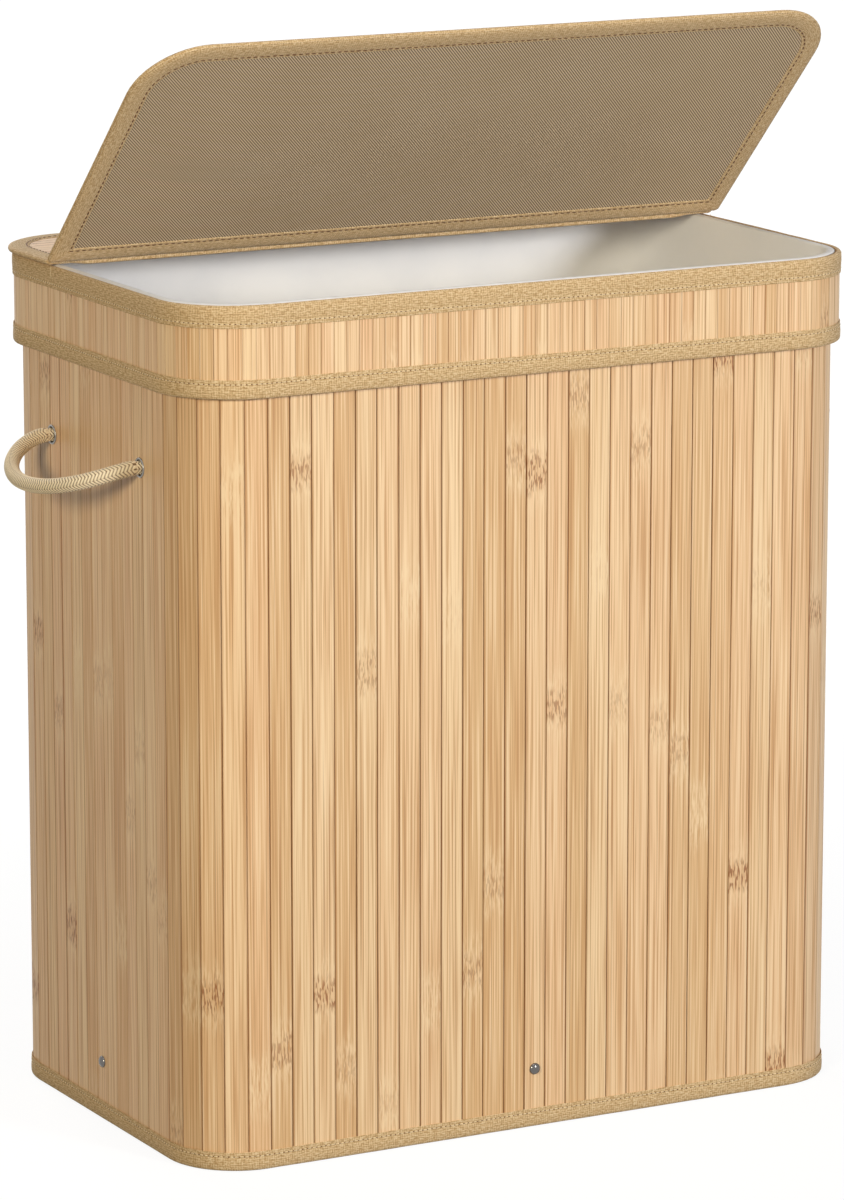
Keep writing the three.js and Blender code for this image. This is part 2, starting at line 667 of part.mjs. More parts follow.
// The holes of an end wall's handle. Seen from outside, the first lies to the left.
const HOLE_SIDES = [-1, 1];

const eyeletHoles = END_WALLS.flatMap((wall) =>
  HOLE_SIDES.map((side) => placeOnWall(wall, (side * HANDLE_SPAN) / 2, HANDLE_HEIGHT)),
);
const rivetHoles = WALLS.map((wall) => placeOnWall(wall, 0, RIVET_HEIGHT));

function withWallHoles(geometry) {
  return cut(geometry, [
    ...eyeletHoles.map((place) => wallBore(EYELET_BARREL + CLEARANCE, ROUND_SIDES).applyMatrix4(place)),
    ...rivetHoles.map((place) => wallBore(RIVET_BORE, RIVET_SIDES).applyMatrix4(place)),
  ]);
}

function body() {
  const group = new THREE.Group();
  const slatTop = BODY_HEIGHT - TAPE_SEAT;
  const slats = slatMat(0, BODY_SLAT_PITCH, TAPE_SEAT, slatTop);
  group.add(piece('body_slats', withWallHoles(slats), finishes.bamboo));
  const backing = backingCloth(0, TAPE_SEAT, slatTop);
  group.add(piece('body_backing', withWallHoles(backing), finishes.backingCloth));
  const baseTape = foldedTape(TAPE_OUTER, TAPE_INNER, 0, BASE_TAPE_DEPTH);
  group.add(piece('base_tape', baseTape, finishes.linenTape));
  const rimTape = foldedTape(TAPE_OUTER, TAPE_INNER, BODY_HEIGHT, BODY_HEIGHT - RIM_TAPE_DEPTH);
  group.add(piece('rim_tape', rimTape, finishes.linenTape));
  const board = plate(
    wallOutline(BRACKET_INNER - CLEARANCE),
    BASE_BOARD_BOTTOM,
    BASE_BOARD_BOTTOM + BASE_BOARD_THICKNESS,
  );
  group.add(piece('base_board', board, finishes.fibreboard));
  for (const wall of WALLS) {
    const foot = placeOnWall(wall, 0, BRACKET_HEIGHT_OFF_FLOOR);
    group.add(placed(piece(`bracket_${wall.name}`, bracket(), finishes.zincPlatedSteel), foot));
    const hole = placeOnWall(wall, 0, RIVET_HEIGHT);
    group.add(placed(piece(`rivet_${wall.name}`, rivet(), finishes.chromedSteel), hole));
  }
  return group;
}

// Where the loop's pivot line lies, outside the slat face
const HANDLE_PIVOT = EYELET_OUTER + CLEARANCE + ROPE_RADIUS;

function handles() {
  const group = new THREE.Group();
  for (const wall of END_WALLS) {
    for (const side of HOLE_SIDES) {
      // The left wall's first hole lies at the back, the right wall's at the front
      const isFront = side * Math.sign(wall.turn) < 0;
      const name = `${wall.name}_${isFront ? 'front' : 'back'}`;
      const hole = placeOnWall(wall, (side * HANDLE_SPAN) / 2, HANDLE_HEIGHT);
      group.add(placed(piece(`eyelet_${name}`, eyelet(), finishes.zincPlatedSteel), hole));
      group.add(placed(piece(`knot_${name}`, knot(), finishes.cottonRope), hole));
    }
    const loop = piece(`rope_handle_${wall.name}`, ropeLoop(), finishes.cottonRope);
    loop.position.y = -HANDLE_PIVOT;
    group.add(placed(loop, placeOnWall(wall, 0, HANDLE_HEIGHT)));
  }
  return group;
}

const rearPanel = {
  halfWidth: HALF_LENGTH + COLLAR_TAPE_OUTER + REAR_PANEL_OVERHANG,
  front: HINGE_SETBACK + CLEARANCE,
  back: HALF_WIDTH + COLLAR_TAPE_OUTER + REAR_PANEL_OVERHANG,
  frontRadius: PANEL_HINGE_RADIUS,
  backRadius: BODY_CORNER_RADIUS + COLLAR_TAPE_OUTER + REAR_PANEL_OVERHANG,
};
const flapPanel = {
  halfWidth: HALF_LENGTH + COLLAR_TAPE_OUTER + FLAP_SIDE_OVERHANG,
  front: -HALF_WIDTH - COLLAR_TAPE_OUTER - FLAP_FRONT_LIP,
  back: HINGE_SETBACK - CLEARANCE,
  frontRadius: FLAP_FRONT_RADIUS,
  backRadius: PANEL_HINGE_RADIUS,
};

// Half of the hinge cloth, on the edge of its panel: side is 1 on the rear panel and -1 on the flap
function hingeTape(side) {
  const length = 2 * (rearPanel.halfWidth - PANEL_HINGE_RADIUS);
  const width = HINGE_TAPE_WIDTH - HINGE_TAPE_SETBACK;
  const middle = HINGE_SETBACK + side * (HINGE_TAPE_SETBACK + width / 2);
  const half = new THREE.BoxGeometry(length, width, HINGE_TAPE_THICKNESS);
  return half.translate(0, middle, PANEL_TOP + GLUE_LINE + HINGE_TAPE_THICKNESS / 2);
}

// The four layers of a lid panel, named after it
function panelPieces(name, panel) {
  const lining = panelLayer(panel, LINING_BOTTOM, PANEL_LINING_THICKNESS);
  const board = panelLayer(panel, BOARD_BOTTOM, PANEL_BOARD_THICKNESS);
  return [
    piece(`${name}_slats`, panelSlats(panel), finishes.bamboo),
    piece(`${name}_board`, board, finishes.fibreboard),
    piece(`${name}_lining`, lining, finishes.oxfordLining),
    piece(`${name}_binding`, panelBinding(panel), finishes.linenTape),
  ];
}

function collar() {
  const group = new THREE.Group();
  const face = COLLAR_STAND_OFF;
  const low = COLLAR_BOTTOM + TAPE_SEAT;
  const high = COLLAR_TOP - TAPE_SEAT;
  group.add(piece('collar_slats', slatMat(face, COLLAR_SLAT_PITCH, low, high), finishes.collarBamboo));
  group.add(piece('collar_backing', backingCloth(face, low, high), finishes.backingCloth));
  const topTape = foldedTape(COLLAR_TAPE_OUTER, COLLAR_TAPE_INNER, COLLAR_TOP, COLLAR_TOP - COLLAR_TOP_TAPE_DEPTH);
  group.add(piece('collar_top_tape', topTape, finishes.linenTape));
  const lowerTapeEdge = COLLAR_BOTTOM + COLLAR_LOWER_TAPE_DEPTH;
  const lowerTape = foldedTape(COLLAR_TAPE_OUTER, COLLAR_TAPE_INNER, COLLAR_BOTTOM, lowerTapeEdge);
  group.add(piece('collar_lower_tape', lowerTape, finishes.linenTape));
  group.add(...panelPieces('rear_panel', rearPanel));
  group.add(piece('hinge_tape_rear', hingeTape(1), finishes.linenTape));
  return group;
}

// The flap, modelled shut and turned open about its hinge line
function flap() {
  const group = new THREE.Group();
  const layers = panelPieces('flap', flapPanel);
  layers.push(piece('hinge_tape_front', hingeTape(-1), finishes.linenTape));
  for (const layer of layers) {
    layer.position.set(0, -HINGE_SETBACK, -HINGE_HEIGHT);
    group.add(layer);
  }
  group.position.set(0, HINGE_SETBACK, HINGE_HEIGHT);
  group.rotation.x = -THREE.MathUtils.degToRad(FLAP_OPEN_DEGREES);
  return group;
}

function liner() {
  const group = new THREE.Group();
  group.add(piece('liner_bag', linerBag(), finishes.linerCloth));
  group.add(piece('liner_divider', linerDivider(), finishes.linerCloth));
  return group;
}

const hamper = new THREE.Group();
hamper.add(body(), handles(), collar(), flap(), liner());

export default hamper;
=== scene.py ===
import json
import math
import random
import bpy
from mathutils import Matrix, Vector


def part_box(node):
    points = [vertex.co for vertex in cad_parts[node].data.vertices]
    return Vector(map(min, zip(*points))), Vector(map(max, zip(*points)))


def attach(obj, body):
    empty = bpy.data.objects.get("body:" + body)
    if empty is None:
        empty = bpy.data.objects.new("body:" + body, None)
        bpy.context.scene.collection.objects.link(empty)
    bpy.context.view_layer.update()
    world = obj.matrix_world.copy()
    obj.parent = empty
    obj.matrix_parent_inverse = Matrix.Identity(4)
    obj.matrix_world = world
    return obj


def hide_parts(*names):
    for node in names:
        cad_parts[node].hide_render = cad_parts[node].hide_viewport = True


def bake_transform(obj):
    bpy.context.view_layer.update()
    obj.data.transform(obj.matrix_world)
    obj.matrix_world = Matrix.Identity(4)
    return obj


bl_info = {
    "name": "Bamboo laundry hamper",
    "version": (1, 0, 0),
    "blender": (4, 5, 0),
    "location": "View3D > Sidebar > Hamper",
    "description": "Dresses the solids of a slatted bamboo laundry hamper with two bins",
    "category": "Add Mesh",
}

from contextlib import contextmanager

import bpy
import numpy as np
from mathutils import Matrix, Vector

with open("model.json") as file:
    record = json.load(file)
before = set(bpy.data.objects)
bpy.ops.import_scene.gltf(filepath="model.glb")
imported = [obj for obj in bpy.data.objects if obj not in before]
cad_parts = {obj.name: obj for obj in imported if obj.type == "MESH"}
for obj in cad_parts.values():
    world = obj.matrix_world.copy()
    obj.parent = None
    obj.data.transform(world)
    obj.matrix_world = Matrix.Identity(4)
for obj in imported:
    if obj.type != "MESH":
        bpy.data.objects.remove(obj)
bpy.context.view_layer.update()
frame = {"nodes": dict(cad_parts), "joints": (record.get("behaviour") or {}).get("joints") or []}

MM = 0.001

# The wall that every ring of the hamper follows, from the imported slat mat
WALL_LOW, WALL_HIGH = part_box("body_slats")
WALL_CORNER = 51 * MM
CORNER_STEPS = 12
WALLS = {"front": 0, "right": 90, "back": 180, "left": -90}

# Slats
SLAT_THICKNESS = 2 * MM
PANEL_SLAT_THICKNESS = 1.2 * MM
SLAT_PITCH = 16.5 * MM
COLLAR_SLAT_PITCH = 9.67 * MM
COLLAR_FACE = 5.5 * MM
COLLAR_JOINT_SHARE = 0.45
SLAT_GAP_SPREAD = (0.5, 1.6)
SLAT_DEPTH_SPREAD = 0.12 * MM
SLAT_TILT = 0.02
GRAIN_STEP = 0.1

# Cloth on the walls, as offsets from the wall's face
CLOTH_THICKNESS = 0.5 * MM
BACKING_CLEARANCE = 0.55 * MM
TAPE_OUTER = 0.8 * MM
BODY_TAPE_INNER = -3.2 * MM
COLLAR_TAPE_INNER = 2.3 * MM
TAPE_RIPPLE = 0.22 * MM
# Outset in millimetres, share of the bulge, and millimetres from the tape's free edge
TAPE_SECTION = [(-0.15, 0, 0), (0.05, 0, 0.35), (0, 0.1, 2.2), (-0.12, 0, 3.1), (0, 0.2, 4.0)]
FOLD_CLEARANCE = 0.4 * MM
STITCH_INSET = 3.1 * MM
SEAM_END = 9 * MM

# The flap's hinge line, and how far the flap stands open
FLAP_JOINT = next(j for j in frame["joints"] if j["name"] == "flap_hinge")
HINGE = Vector(FLAP_JOINT["pos_m"])
FLAP_OPEN = math.radians(-FLAP_JOINT["range_deg"][0])

# Lid panels
PANEL_BOTTOM, PANEL_TOP = (corner.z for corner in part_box("rear_panel_binding"))
PANEL_INSET = 0.8 * MM
BINDING_WIDTH = 15.5 * MM
BINDING_SEAM = 2.4 * MM
# Inset from the panel's edge, and rise above the panel's faces, in millimetres
BINDING_SECTION = [(15.5, -0.75), (15.1, -0.2), (13.9, 0.05), (13.1, -0.15), (12.1, 0.1)]
BINDING_SECTION += [(9, 0.28), (5, 0.25), (2.6, 0), (1.1, -0.5), (0.3, -1.1)]
BINDING_RIPPLE = 0.12 * MM
BINDING_FOLD_END = 250 * MM
HINGE_CORNER = 4 * MM
HINGE_CLEARANCE = 0.3 * MM
HINGE_FOLD = 1.6 * MM
HINGE_RISE = 0.45 * MM
FLAP_FRONT = -179 * MM
FLAP_FRONT_CORNER = 48.5 * MM
REAR_CORNER = 60.3 * MM

# Liner, as offsets from the wall's face and lengths down from the rim
HEM_CLEARANCE = 0.25 * MM
HEM_OUTER = 1.7 * MM
HEM_DROP = 40 * MM
LINER_TOP = -4.1 * MM
LINER_SIDE = -6.3 * MM
LINER_END = -20.7 * MM
LINER_TAPER = 55 * MM
LINER_FLOOR_CURVE = 6 * MM
LINER_FOLDS = 46
DIVIDER_HEM = 18 * MM
DIVIDER_SWAY = 2.2 * MM
# Sideways and down from the divider's top, in millimetres, from the hem's edge over the fold
DIVIDER_FOLD = [(-0.7, 18), (-0.75, 9), (-0.7, 1.6), (-0.2, 0.3)]
DIVIDER_FOLD += [(0.6, 0.1), (1.25, 1.2), (1.3, 9), (1.25, 18), (0.6, 24)]

# Rope handles, as they are routed in the solids
ROPE_RADIUS = 5.2 * MM
HANDLE_SPAN = 142 * MM
HANDLE_HEIGHT = 479 * MM
HANDLE_REACH = 47 * MM
HANDLE_DROP = 17.6 * MM
HANDLE_SAG_SHARE = 1.4
HANDLE_PIVOT = 6.4 * MM
STRAND_PITCH = 2.4 * MM
STRAND_BANDS = 8
STUB_RADIUS = 4.9 * MM
KNOT_RADIUS = 3.6 * MM
KNOT_SIZE = 2.1 * MM
KNOT_MIDDLE = 11.8 * MM
KNOT_DEPTH = 3.9 * MM

# Hardware
EYELET_BORE = 5.5 * MM
EYELET_BARREL = 6.0 * MM
EYELET_FLANGE = 7.0 * MM
EYELET_BACK = 3.2 * MM
RIVET_HEIGHT = 42 * MM
RIVET_HEAD = 4.15 * MM
RIVET_DOME = 2.4 * MM
RIVET_SHANK = 2 * MM
RIVET_TAIL = 3.2 * MM
HOLE_CLEARANCE = 0.3 * MM

# Stage: the camera, and each lamp's place, aim, width and colour
CAMERA_PLACE = (-1.920452, -3.563691, 1.207921)
CAMERA_YAW, CAMERA_PITCH = math.radians(-28.27), math.radians(11.993)
LAMPS = {
    "key": ((1.25, -3.4, 1.3), (0, 0, 0.42), 0.65, "#FFFFFF"),
    "fill": ((-2.5, -2.1, 1.34), (0, 0, 0.5), 0.7, "#FFF3D8"),
    "back": ((0.1, 3.3, 2.1), (0, 0, 0.4), 1.5, "#FFFFFF"),
    "top": ((-0.3, -0.5, 2.8), (0, 0, 0.5), 1.8, "#FFFFFF"),
}


def linear(hex_colour):
    """An sRGB hex colour as a linear RGBA tuple."""
    channels = [int(hex_colour[i : i + 2], 16) / 255 for i in (1, 3, 5)]
    return tuple(c / 12.92 if c <= 0.04045 else ((c + 0.055) / 1.055) ** 2.4 for c in channels) + (1.0,)


def ease(share):
    """A smooth step from 0 to 1."""
    share = np.clip(share, 0, 1)
    return share * share * (3 - 2 * share)


def ring_noise(run, seed, waves):
    """A smooth random ripple from -1 to 1 that closes on itself as the run goes from 0 to 1."""
    draw = np.random.default_rng(seed)
    value = np.zeros_like(run)
    for wave in waves:
        value += draw.uniform(0.5, 1.0) * np.sin(2 * np.pi * (wave * run + draw.uniform()))
    return value / len(waves)


def path_run(path):
    """The distance along a path at each of its points."""
    return np.concatenate([[0], np.cumsum(np.linalg.norm(np.diff(path, axis=0), axis=1))])


def interpolate(at, run, values):
    """Points or directions at one or more distances along a path."""
    return np.stack([np.interp(at, run, column) for column in values.T], -1)


# Outlines


def rounded_outline(left, right, front, back, radii, inset=0.0, spacing=6 * MM, counts=None):
    """Points anticlockwise round a rounded rectangle, closed, with the same count at every inset."""
    arcs = []
    for corner, (x, y) in enumerate([(right, back), (left, back), (left, front), (right, front)]):
        radius = max(radii[corner] - inset, 1 * MM)
        centre_x = x + (inset + radius) * (-1 if x == right else 1)
        centre_y = y + (inset + radius) * (-1 if y == back else 1)
        angles = (corner + np.linspace(0, 1, CORNER_STEPS + 1)) * math.pi / 2
        arcs.append(np.column_stack([centre_x + radius * np.cos(angles), centre_y + radius * np.sin(angles)]))
    points = []
    for corner, arc in enumerate(arcs):
        after = (corner + 1) % 4
        straight = (back - front if corner % 2 else right - left) - radii[corner] - radii[after]
        count = counts[corner % 2] if counts else max(1, round(straight / spacing))
        points += [arc, np.linspace(arc[-1], arcs[after][0], count + 1)[1:-1]]
    return np.concatenate([*points, arcs[0][:1]])


def wall_outline(offset, end_offset=None, spacing=6 * MM):
    """The hamper's wall outline, moved outwards by offset, or by end_offset at the two ends."""
    ends = offset if end_offset is None else end_offset
    radius = WALL_CORNER + max(offset, ends)
    counts = [round(2 * (reach - WALL_CORNER) / spacing) for reach in (WALL_HIGH.x, WALL_HIGH.y)]
    box = (WALL_LOW.x - ends, WALL_HIGH.x + ends, WALL_LOW.y - offset, WALL_HIGH.y + offset)
    return rounded_outline(*box, [radius] * 4, counts=counts)


def at_height(ring, height):
    """A flat ring of points, lifted to one height or to a height for each point."""
    return np.column_stack([ring, np.zeros(len(ring)) + height])


def from_axis(ring):
    """Unit vectors that point from the hamper's upright axis to each point of a ring."""
    return ring / np.maximum(np.linalg.norm(ring, axis=1, keepdims=True), 1e-9)


def wall_length(offset):
    """The length of the wall's outline when it is moved outwards."""
    straight = 4 * (WALL_HIGH.x + WALL_HIGH.y - 2 * WALL_CORNER)
    return straight + 2 * math.pi * (WALL_CORNER + offset)


def round_wall(offset, distance):
    """The point at a distance round the wall, from the middle of the front to the right."""
    radius = WALL_CORNER + offset
    front, end = WALL_HIGH.x - WALL_CORNER, WALL_HIGH.y - WALL_CORNER
    corner = radius * math.pi / 2
    half = 2 * (front + end + corner)
    along = distance % half
    past_end = along - front - corner - 2 * end
    angle = np.clip([(along - front) / radius, past_end / radius], 0, math.pi / 2).sum() - math.pi / 2
    centre = Vector((min(along, front, half - along), np.clip(past_end + end, -end, end), 0))
    point = centre + radius * Vector((math.cos(angle), math.sin(angle), 0))
    return point if distance < half else -point


# Modelling


def start_piece(name):
    """Names the object that an operator has just added."""
    piece = bpy.context.object
    piece.name = piece.data.name = name
    return piece


def select_only(*pieces):
    """Selects the given pieces and nothing else, and makes the first one active."""
    bpy.ops.object.select_all(action="DESELECT")
    for piece in pieces:
        piece.select_set(True)
    bpy.context.view_layer.objects.active = pieces[0]


@contextmanager
def edit_mode(piece, chosen=None):
    """Holds a piece in edit mode, with all or the chosen ones of its vertices selected."""
    select_only(piece)
    bpy.ops.object.mode_set(mode="EDIT")
    bpy.ops.mesh.select_all(action="SELECT" if chosen is None else "DESELECT")
    if chosen is not None:
        bpy.ops.object.mode_set(mode="OBJECT")
        for vertex in piece.data.vertices:
            vertex.select = bool(chosen(vertex.co))
        bpy.ops.object.mode_set(mode="EDIT")
    yield
    bpy.ops.object.mode_set(mode="OBJECT")


def apply_modifier(piece, kind, **settings):
    select_only(piece)
    modifier = piece.modifiers.new(kind.lower(), kind)
    for key, value in settings.items():
        setattr(modifier, key, value)
    bpy.ops.object.modifier_apply(modifier=modifier.name)


def smooth(piece, degrees=40):
    """Shades a piece smooth where its faces meet at less than an angle."""
    select_only(piece)
    bpy.ops.object.shade_smooth_by_angle(angle=math.radians(degrees))


def woven_sheet(name, points, thickness=None, heights=None):
    """A sheet laid over rows of points, with its threads' lengths in metres as its UV map."""
    rows, columns = points.shape[:2]
    bpy.ops.mesh.primitive_grid_add(x_subdivisions=columns - 1, y_subdivisions=rows - 1, size=1)
    piece = start_piece(name)
    mesh = piece.data
    mesh.vertices.foreach_set("co", points.reshape(-1).astype(np.float32))
    if heights is not None:
        attribute = mesh.attributes.new("strand_height", "FLOAT", "POINT")
        attribute.data.foreach_set("value", heights.reshape(-1).astype(np.float32))
    run = np.concatenate([[0], np.cumsum(np.linalg.norm(np.diff(points, axis=1), axis=2).mean(0))])
    fall = np.concatenate([[0], np.cumsum(np.linalg.norm(np.diff(points, axis=0), axis=2).mean(1))])
    layer = mesh.uv_layers.active
    layer.name = "weave"
    share = np.empty(len(mesh.loops) * 2, np.float32)
    layer.data.foreach_get("uv", share)
    column, row = np.rint(share.reshape(-1, 2) * (columns - 1, rows - 1)).astype(int).T
    layer.data.foreach_set("uv", np.stack([run[column], fall[row]], 1).astype(np.float32).ravel())
    with edit_mode(piece):
        bpy.ops.mesh.remove_doubles(threshold=1e-7)
    if thickness:
        apply_modifier(piece, "SOLIDIFY", thickness=thickness, offset=-1.0, use_even_offset=True)
    smooth(piece)
    return piece


def closed_shell(name, points, degrees, merge=1e-6, heights=None):
    """A sheet that closes on itself, with its doubled points merged and its faces turned outwards."""
    piece = woven_sheet(name, points, heights=heights)
    with edit_mode(piece):
        bpy.ops.mesh.remove_doubles(threshold=merge)
        bpy.ops.mesh.normals_make_consistent(inside=False)
    smooth(piece, degrees)
    return piece


def flat_map(mesh, name, axes):
    """Makes a mesh's UV map its own size in metres along two axes."""
    layer = mesh.uv_layers.active
    layer.name = name
    co = np.array([vertex.co for vertex in mesh.vertices])
    corner = np.array([loop.vertex_index for loop in mesh.loops])
    layer.data.foreach_set("uv", co[corner][:, axes].astype(np.float32).ravel())


def joined_copies(name, template, matrices, draws=None):
    """Joins a copy of a template for each matrix. Random draws go to slat_draw and move the copy's grain."""
    copies = []
    for index, matrix in enumerate(matrices):
        copy = template.copy()
        copy.data = template.data.copy()
        bpy.context.scene.collection.objects.link(copy)
        copy.data.transform(matrix)
        if draws is not None:
            attribute = copy.data.attributes.new("slat_draw", "FLOAT_COLOR", "FACE")
            colour = np.tile(np.array(draws[index], np.float32), len(copy.data.polygons))
            attribute.data.foreach_set("color", colour)
            layer = copy.data.uv_layers["grain"]
            values = np.empty(len(layer.data) * 2, np.float32)
            layer.data.foreach_get("uv", values)
            values[0::2] += GRAIN_STEP * index
            layer.data.foreach_set("uv", values)
        copies.append(copy)
    bpy.data.objects.remove(template)
    select_only(*copies)
    bpy.ops.object.join()
    return start_piece(name)


FINISHES = {}


def finish_piece(piece, body, finish, *nodes):
    """Gives a piece its body and its finish, and hides the solids that it stands for."""
    slot, material = FINISHES[finish]
    piece.data.materials.clear()
    piece.data.materials.append(material)
    if body:
        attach(piece, body)
    if nodes:
        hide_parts(*nodes)


def open_flap(piece):
    """Turns what was modelled on the shut flap to the angle at which it stands open."""
    turn = Matrix.Translation(HINGE) @ Matrix.Rotation(-FLAP_OPEN, 4, "X") @ Matrix.Translation(-HINGE)
    piece.data.transform(turn)


# Materials


def add_node(tree, kind, inputs=None, **settings):
    """Adds a node, sets what it is given, and links the inputs that are given as sockets."""
    node = tree.nodes.new("ShaderNode" + kind)
    for key, value in settings.items():
        setattr(node, key, value)
    for key, value in (inputs or {}).items():
        if isinstance(value, bpy.types.NodeSocket):
            tree.links.new(value, node.inputs[key])
        else:
            node.inputs[key].default_value = value
    return node


def new_material(name, **settings):
    """A material and its node tree, with values set on its shader."""
    material = bpy.data.materials.new(name)
    material.use_nodes = True
    tree = material.node_tree
    for key, value in settings.items():
        tree.nodes["Principled BSDF"].inputs[key.replace("_", " ")].default_value = value
    return material, tree


def dress(tree, tone, height=None, strength=0.0, depth=0.0):
    """Gives a material its colour and, where a height is given, its relief."""
    shader = tree.nodes["Principled BSDF"]
    tree.links.new(tone, shader.inputs["Base Color"])
    if height is not None:
        bump = add_node(tree, "Bump", {"Strength": strength, "Distance": depth, "Height": height})
        tree.links.new(bump.outputs[0], shader.inputs["Normal"])


def remap(tree, value, low, high, to_low=0.0, to_high=1.0, **settings):
    places = {0: value, 1: low, 2: high, 3: to_low, 4: to_high}
    return add_node(tree, "MapRange", places, **settings).outputs[0]


def mix_colour(tree, share, first, second):
    return add_node(tree, "Mix", {0: share, 6: first, 7: second}, data_type="RGBA").outputs[2]


def lay_over(tree, tone, value, low, high, most, colour):
    """Lays a colour over a tone, from none of it where the value is low to the most where it is high."""
    return mix_colour(tree, remap(tree, value, low, high, 0.0, most), tone, colour)


def calculate(tree, operation, *values):
    return add_node(tree, "Math", dict(enumerate(values)), operation=operation).outputs[0]


def times(tree, value, *factors):
    """A value times each of the factors."""
    for factor in factors:
        value = calculate(tree, "MULTIPLY", value, factor)
    return value


def read_attribute(tree, name):
    return add_node(tree, "Attribute", attribute_name=name).outputs


def uv_places(tree, name):
    """A UV map, and its two lengths in metres."""
    place = add_node(tree, "UVMap", uv_map=name).outputs[0]
    lengths = add_node(tree, "SeparateXYZ", {0: place}).outputs
    return place, lengths[0], lengths[1]


def streaks(tree, place, across, along, detail=2.0, at=(0, 0, 0)):
    """Noise with features of about 1/across by 1/along metres."""
    spot = add_node(tree, "Mapping", {"Vector": place, "Scale": (across, along, 1), "Location": at})
    places = {"Vector": spot.outputs[0], "Scale": 1.0, "Detail": detail, "Roughness": 0.6}
    return add_node(tree, "TexNoise", places).outputs[0]


def speckle(tree, scale, detail):
    """Noise through the piece itself, with features of about 1/scale metres."""
    spot = add_node(tree, "TexCoord").outputs["Object"]
    return add_node(tree, "TexNoise", {"Vector": spot, "Scale": scale, "Detail": detail}).outputs[0]


def lacquered_bamboo(light, warm, joint):
    """Planed bamboo under clear satin lacquer: straight fine fibres, and a knuckle at each node."""
    material, tree = new_material("lacquered_bamboo", Roughness=0.5, IOR=1.5)
    grain, across, along = uv_places(tree, "grain")
    draw = read_attribute(tree, "slat_draw")
    draws = add_node(tree, "SeparateColor", {0: draw["Color"]}).outputs

    # Each slat comes from its own culm: creamy, peachy, or now and then a duller tan
    tone = mix_colour(tree, draws[0], light, warm)
    tone = lay_over(tree, tone, draws[1], 0.5, 1.0, 0.7, linear("#D0A671"))

    # Growth bands about 5 mm wide and 300 mm long
    tone = lay_over(tree, tone, streaks(tree, grain, 230, 3.3), 0.42, 0.66, 0.42, linear("#D6A974"))

    # Fibre bundles: 0.3 to 1 mm wide on the real slat, drawn from 1 mm up, and 150 mm long
    fibre = streaks(tree, grain, 760, 6.0)
    tone = lay_over(tree, tone, fibre, 0.5, 0.64, 0.66, linear("#B98550"))
    tone = lay_over(tree, tone, fibre, 0.48, 0.34, 0.7, linear("#F8DDB6"))

    # Odd single fibres that have browned
    hair = streaks(tree, grain, 900, 2.6, detail=0.0, at=(5, 3, 0))
    tone = lay_over(tree, tone, hair, 0.68, 0.76, 0.6, linear("#A4713F"))

    # Knuckles along the culm: a patch of short brown dashes in a paler, tufted field
    spacing = 0.54
    start = calculate(tree, "MULTIPLY_ADD", draws[2], 13.0, times(tree, along, 1 / spacing))
    away = times(tree, calculate(tree, "SUBTRACT", calculate(tree, "FRACT", start), 0.5), spacing)
    wobble = remap(tree, streaks(tree, grain, 170, 30), 0.3, 0.7, -6 * MM, 6 * MM)
    away = calculate(tree, "ABSOLUTE", calculate(tree, "ADD", away, wobble))
    strength = remap(tree, calculate(tree, "FRACT", times(tree, draws[1], 7.7)), 0, 1, -0.2, 1.0)
    field = remap(tree, away, 34 * MM, 8 * MM, interpolation_type="SMOOTHSTEP")
    patch = times(tree, remap(tree, away, 16.5 * MM, 4 * MM, interpolation_type="SMOOTHSTEP"), strength)
    tuft = remap(tree, streaks(tree, grain, 900, 75, at=(1, 8, 0)), 0.42, 0.6, 0.0, 0.75)
    tone = mix_colour(tree, times(tree, field, tuft), tone, linear("#F4D9B0"))
    tone = mix_colour(tree, times(tree, patch, 0.35), tone, linear("#C8965F"))
    dash = remap(tree, streaks(tree, grain, 780, 125, detail=1.0, at=(2, 1, 0)), 0.49, 0.57, 0.0, 0.95)
    tone = mix_colour(tree, times(tree, patch, dash), tone, linear("#92582A"))

    # The long edges are a little darker towards the joints: painted shade of the gaps between the slats
    across = calculate(tree, "ABSOLUTE", calculate(tree, "WRAP", across, GRAIN_STEP / 2, -GRAIN_STEP / 2))
    inside = calculate(tree, "SUBTRACT", read_attribute(tree, "slat_half")["Fac"], across)
    rim = remap(tree, inside, 0.9 * MM, 0.2 * MM, 0.0, 0.85)
    rim = times(tree, rim, remap(tree, draws[2], 0, 1, 0.45, 1.0), draw["Alpha"])
    dress(tree, mix_colour(tree, rim, tone, joint), fibre, 0.3, 0.15 * MM)
    return material


def slub_linen(name, dark, middle, light):
    """Plain woven linen tape, matt: fine uneven long threads, crossed by shorter ones.

    Threads of 0.5 mm are drawn 0.8 mm wide, so that they show.
    """
    material, tree = new_material(name, Roughness=0.9, IOR=1.46, Sheen_Weight=0.1)
    weave, across, along = uv_places(tree, "weave")
    warp = streaks(tree, weave, 260, 1250)
    weft = streaks(tree, weave, 1250, 480, at=(3, 7, 0))
    drift = times(tree, streaks(tree, weave, 110, 110, at=(4, 2, 0)), 9.0)
    turn = 2 * math.pi / (1.6 * MM)
    rows = calculate(tree, "SINE", calculate(tree, "MULTIPLY_ADD", along, turn, drift))
    columns = calculate(tree, "SINE", calculate(tree, "MULTIPLY_ADD", across, turn * 0.9, drift))
    threads = times(tree, calculate(tree, "ADD", rows, columns), 0.055)
    cloth = calculate(tree, "MULTIPLY_ADD", weft, 0.7, calculate(tree, "MULTIPLY_ADD", warp, 1.1, threads))
    tone = lay_over(tree, middle, cloth, 0.9, 0.74, 0.9, dark)
    dress(tree, lay_over(tree, tone, cloth, 0.9, 1.06, 0.9, light), cloth, 0.6, 0.3 * MM)
    return material


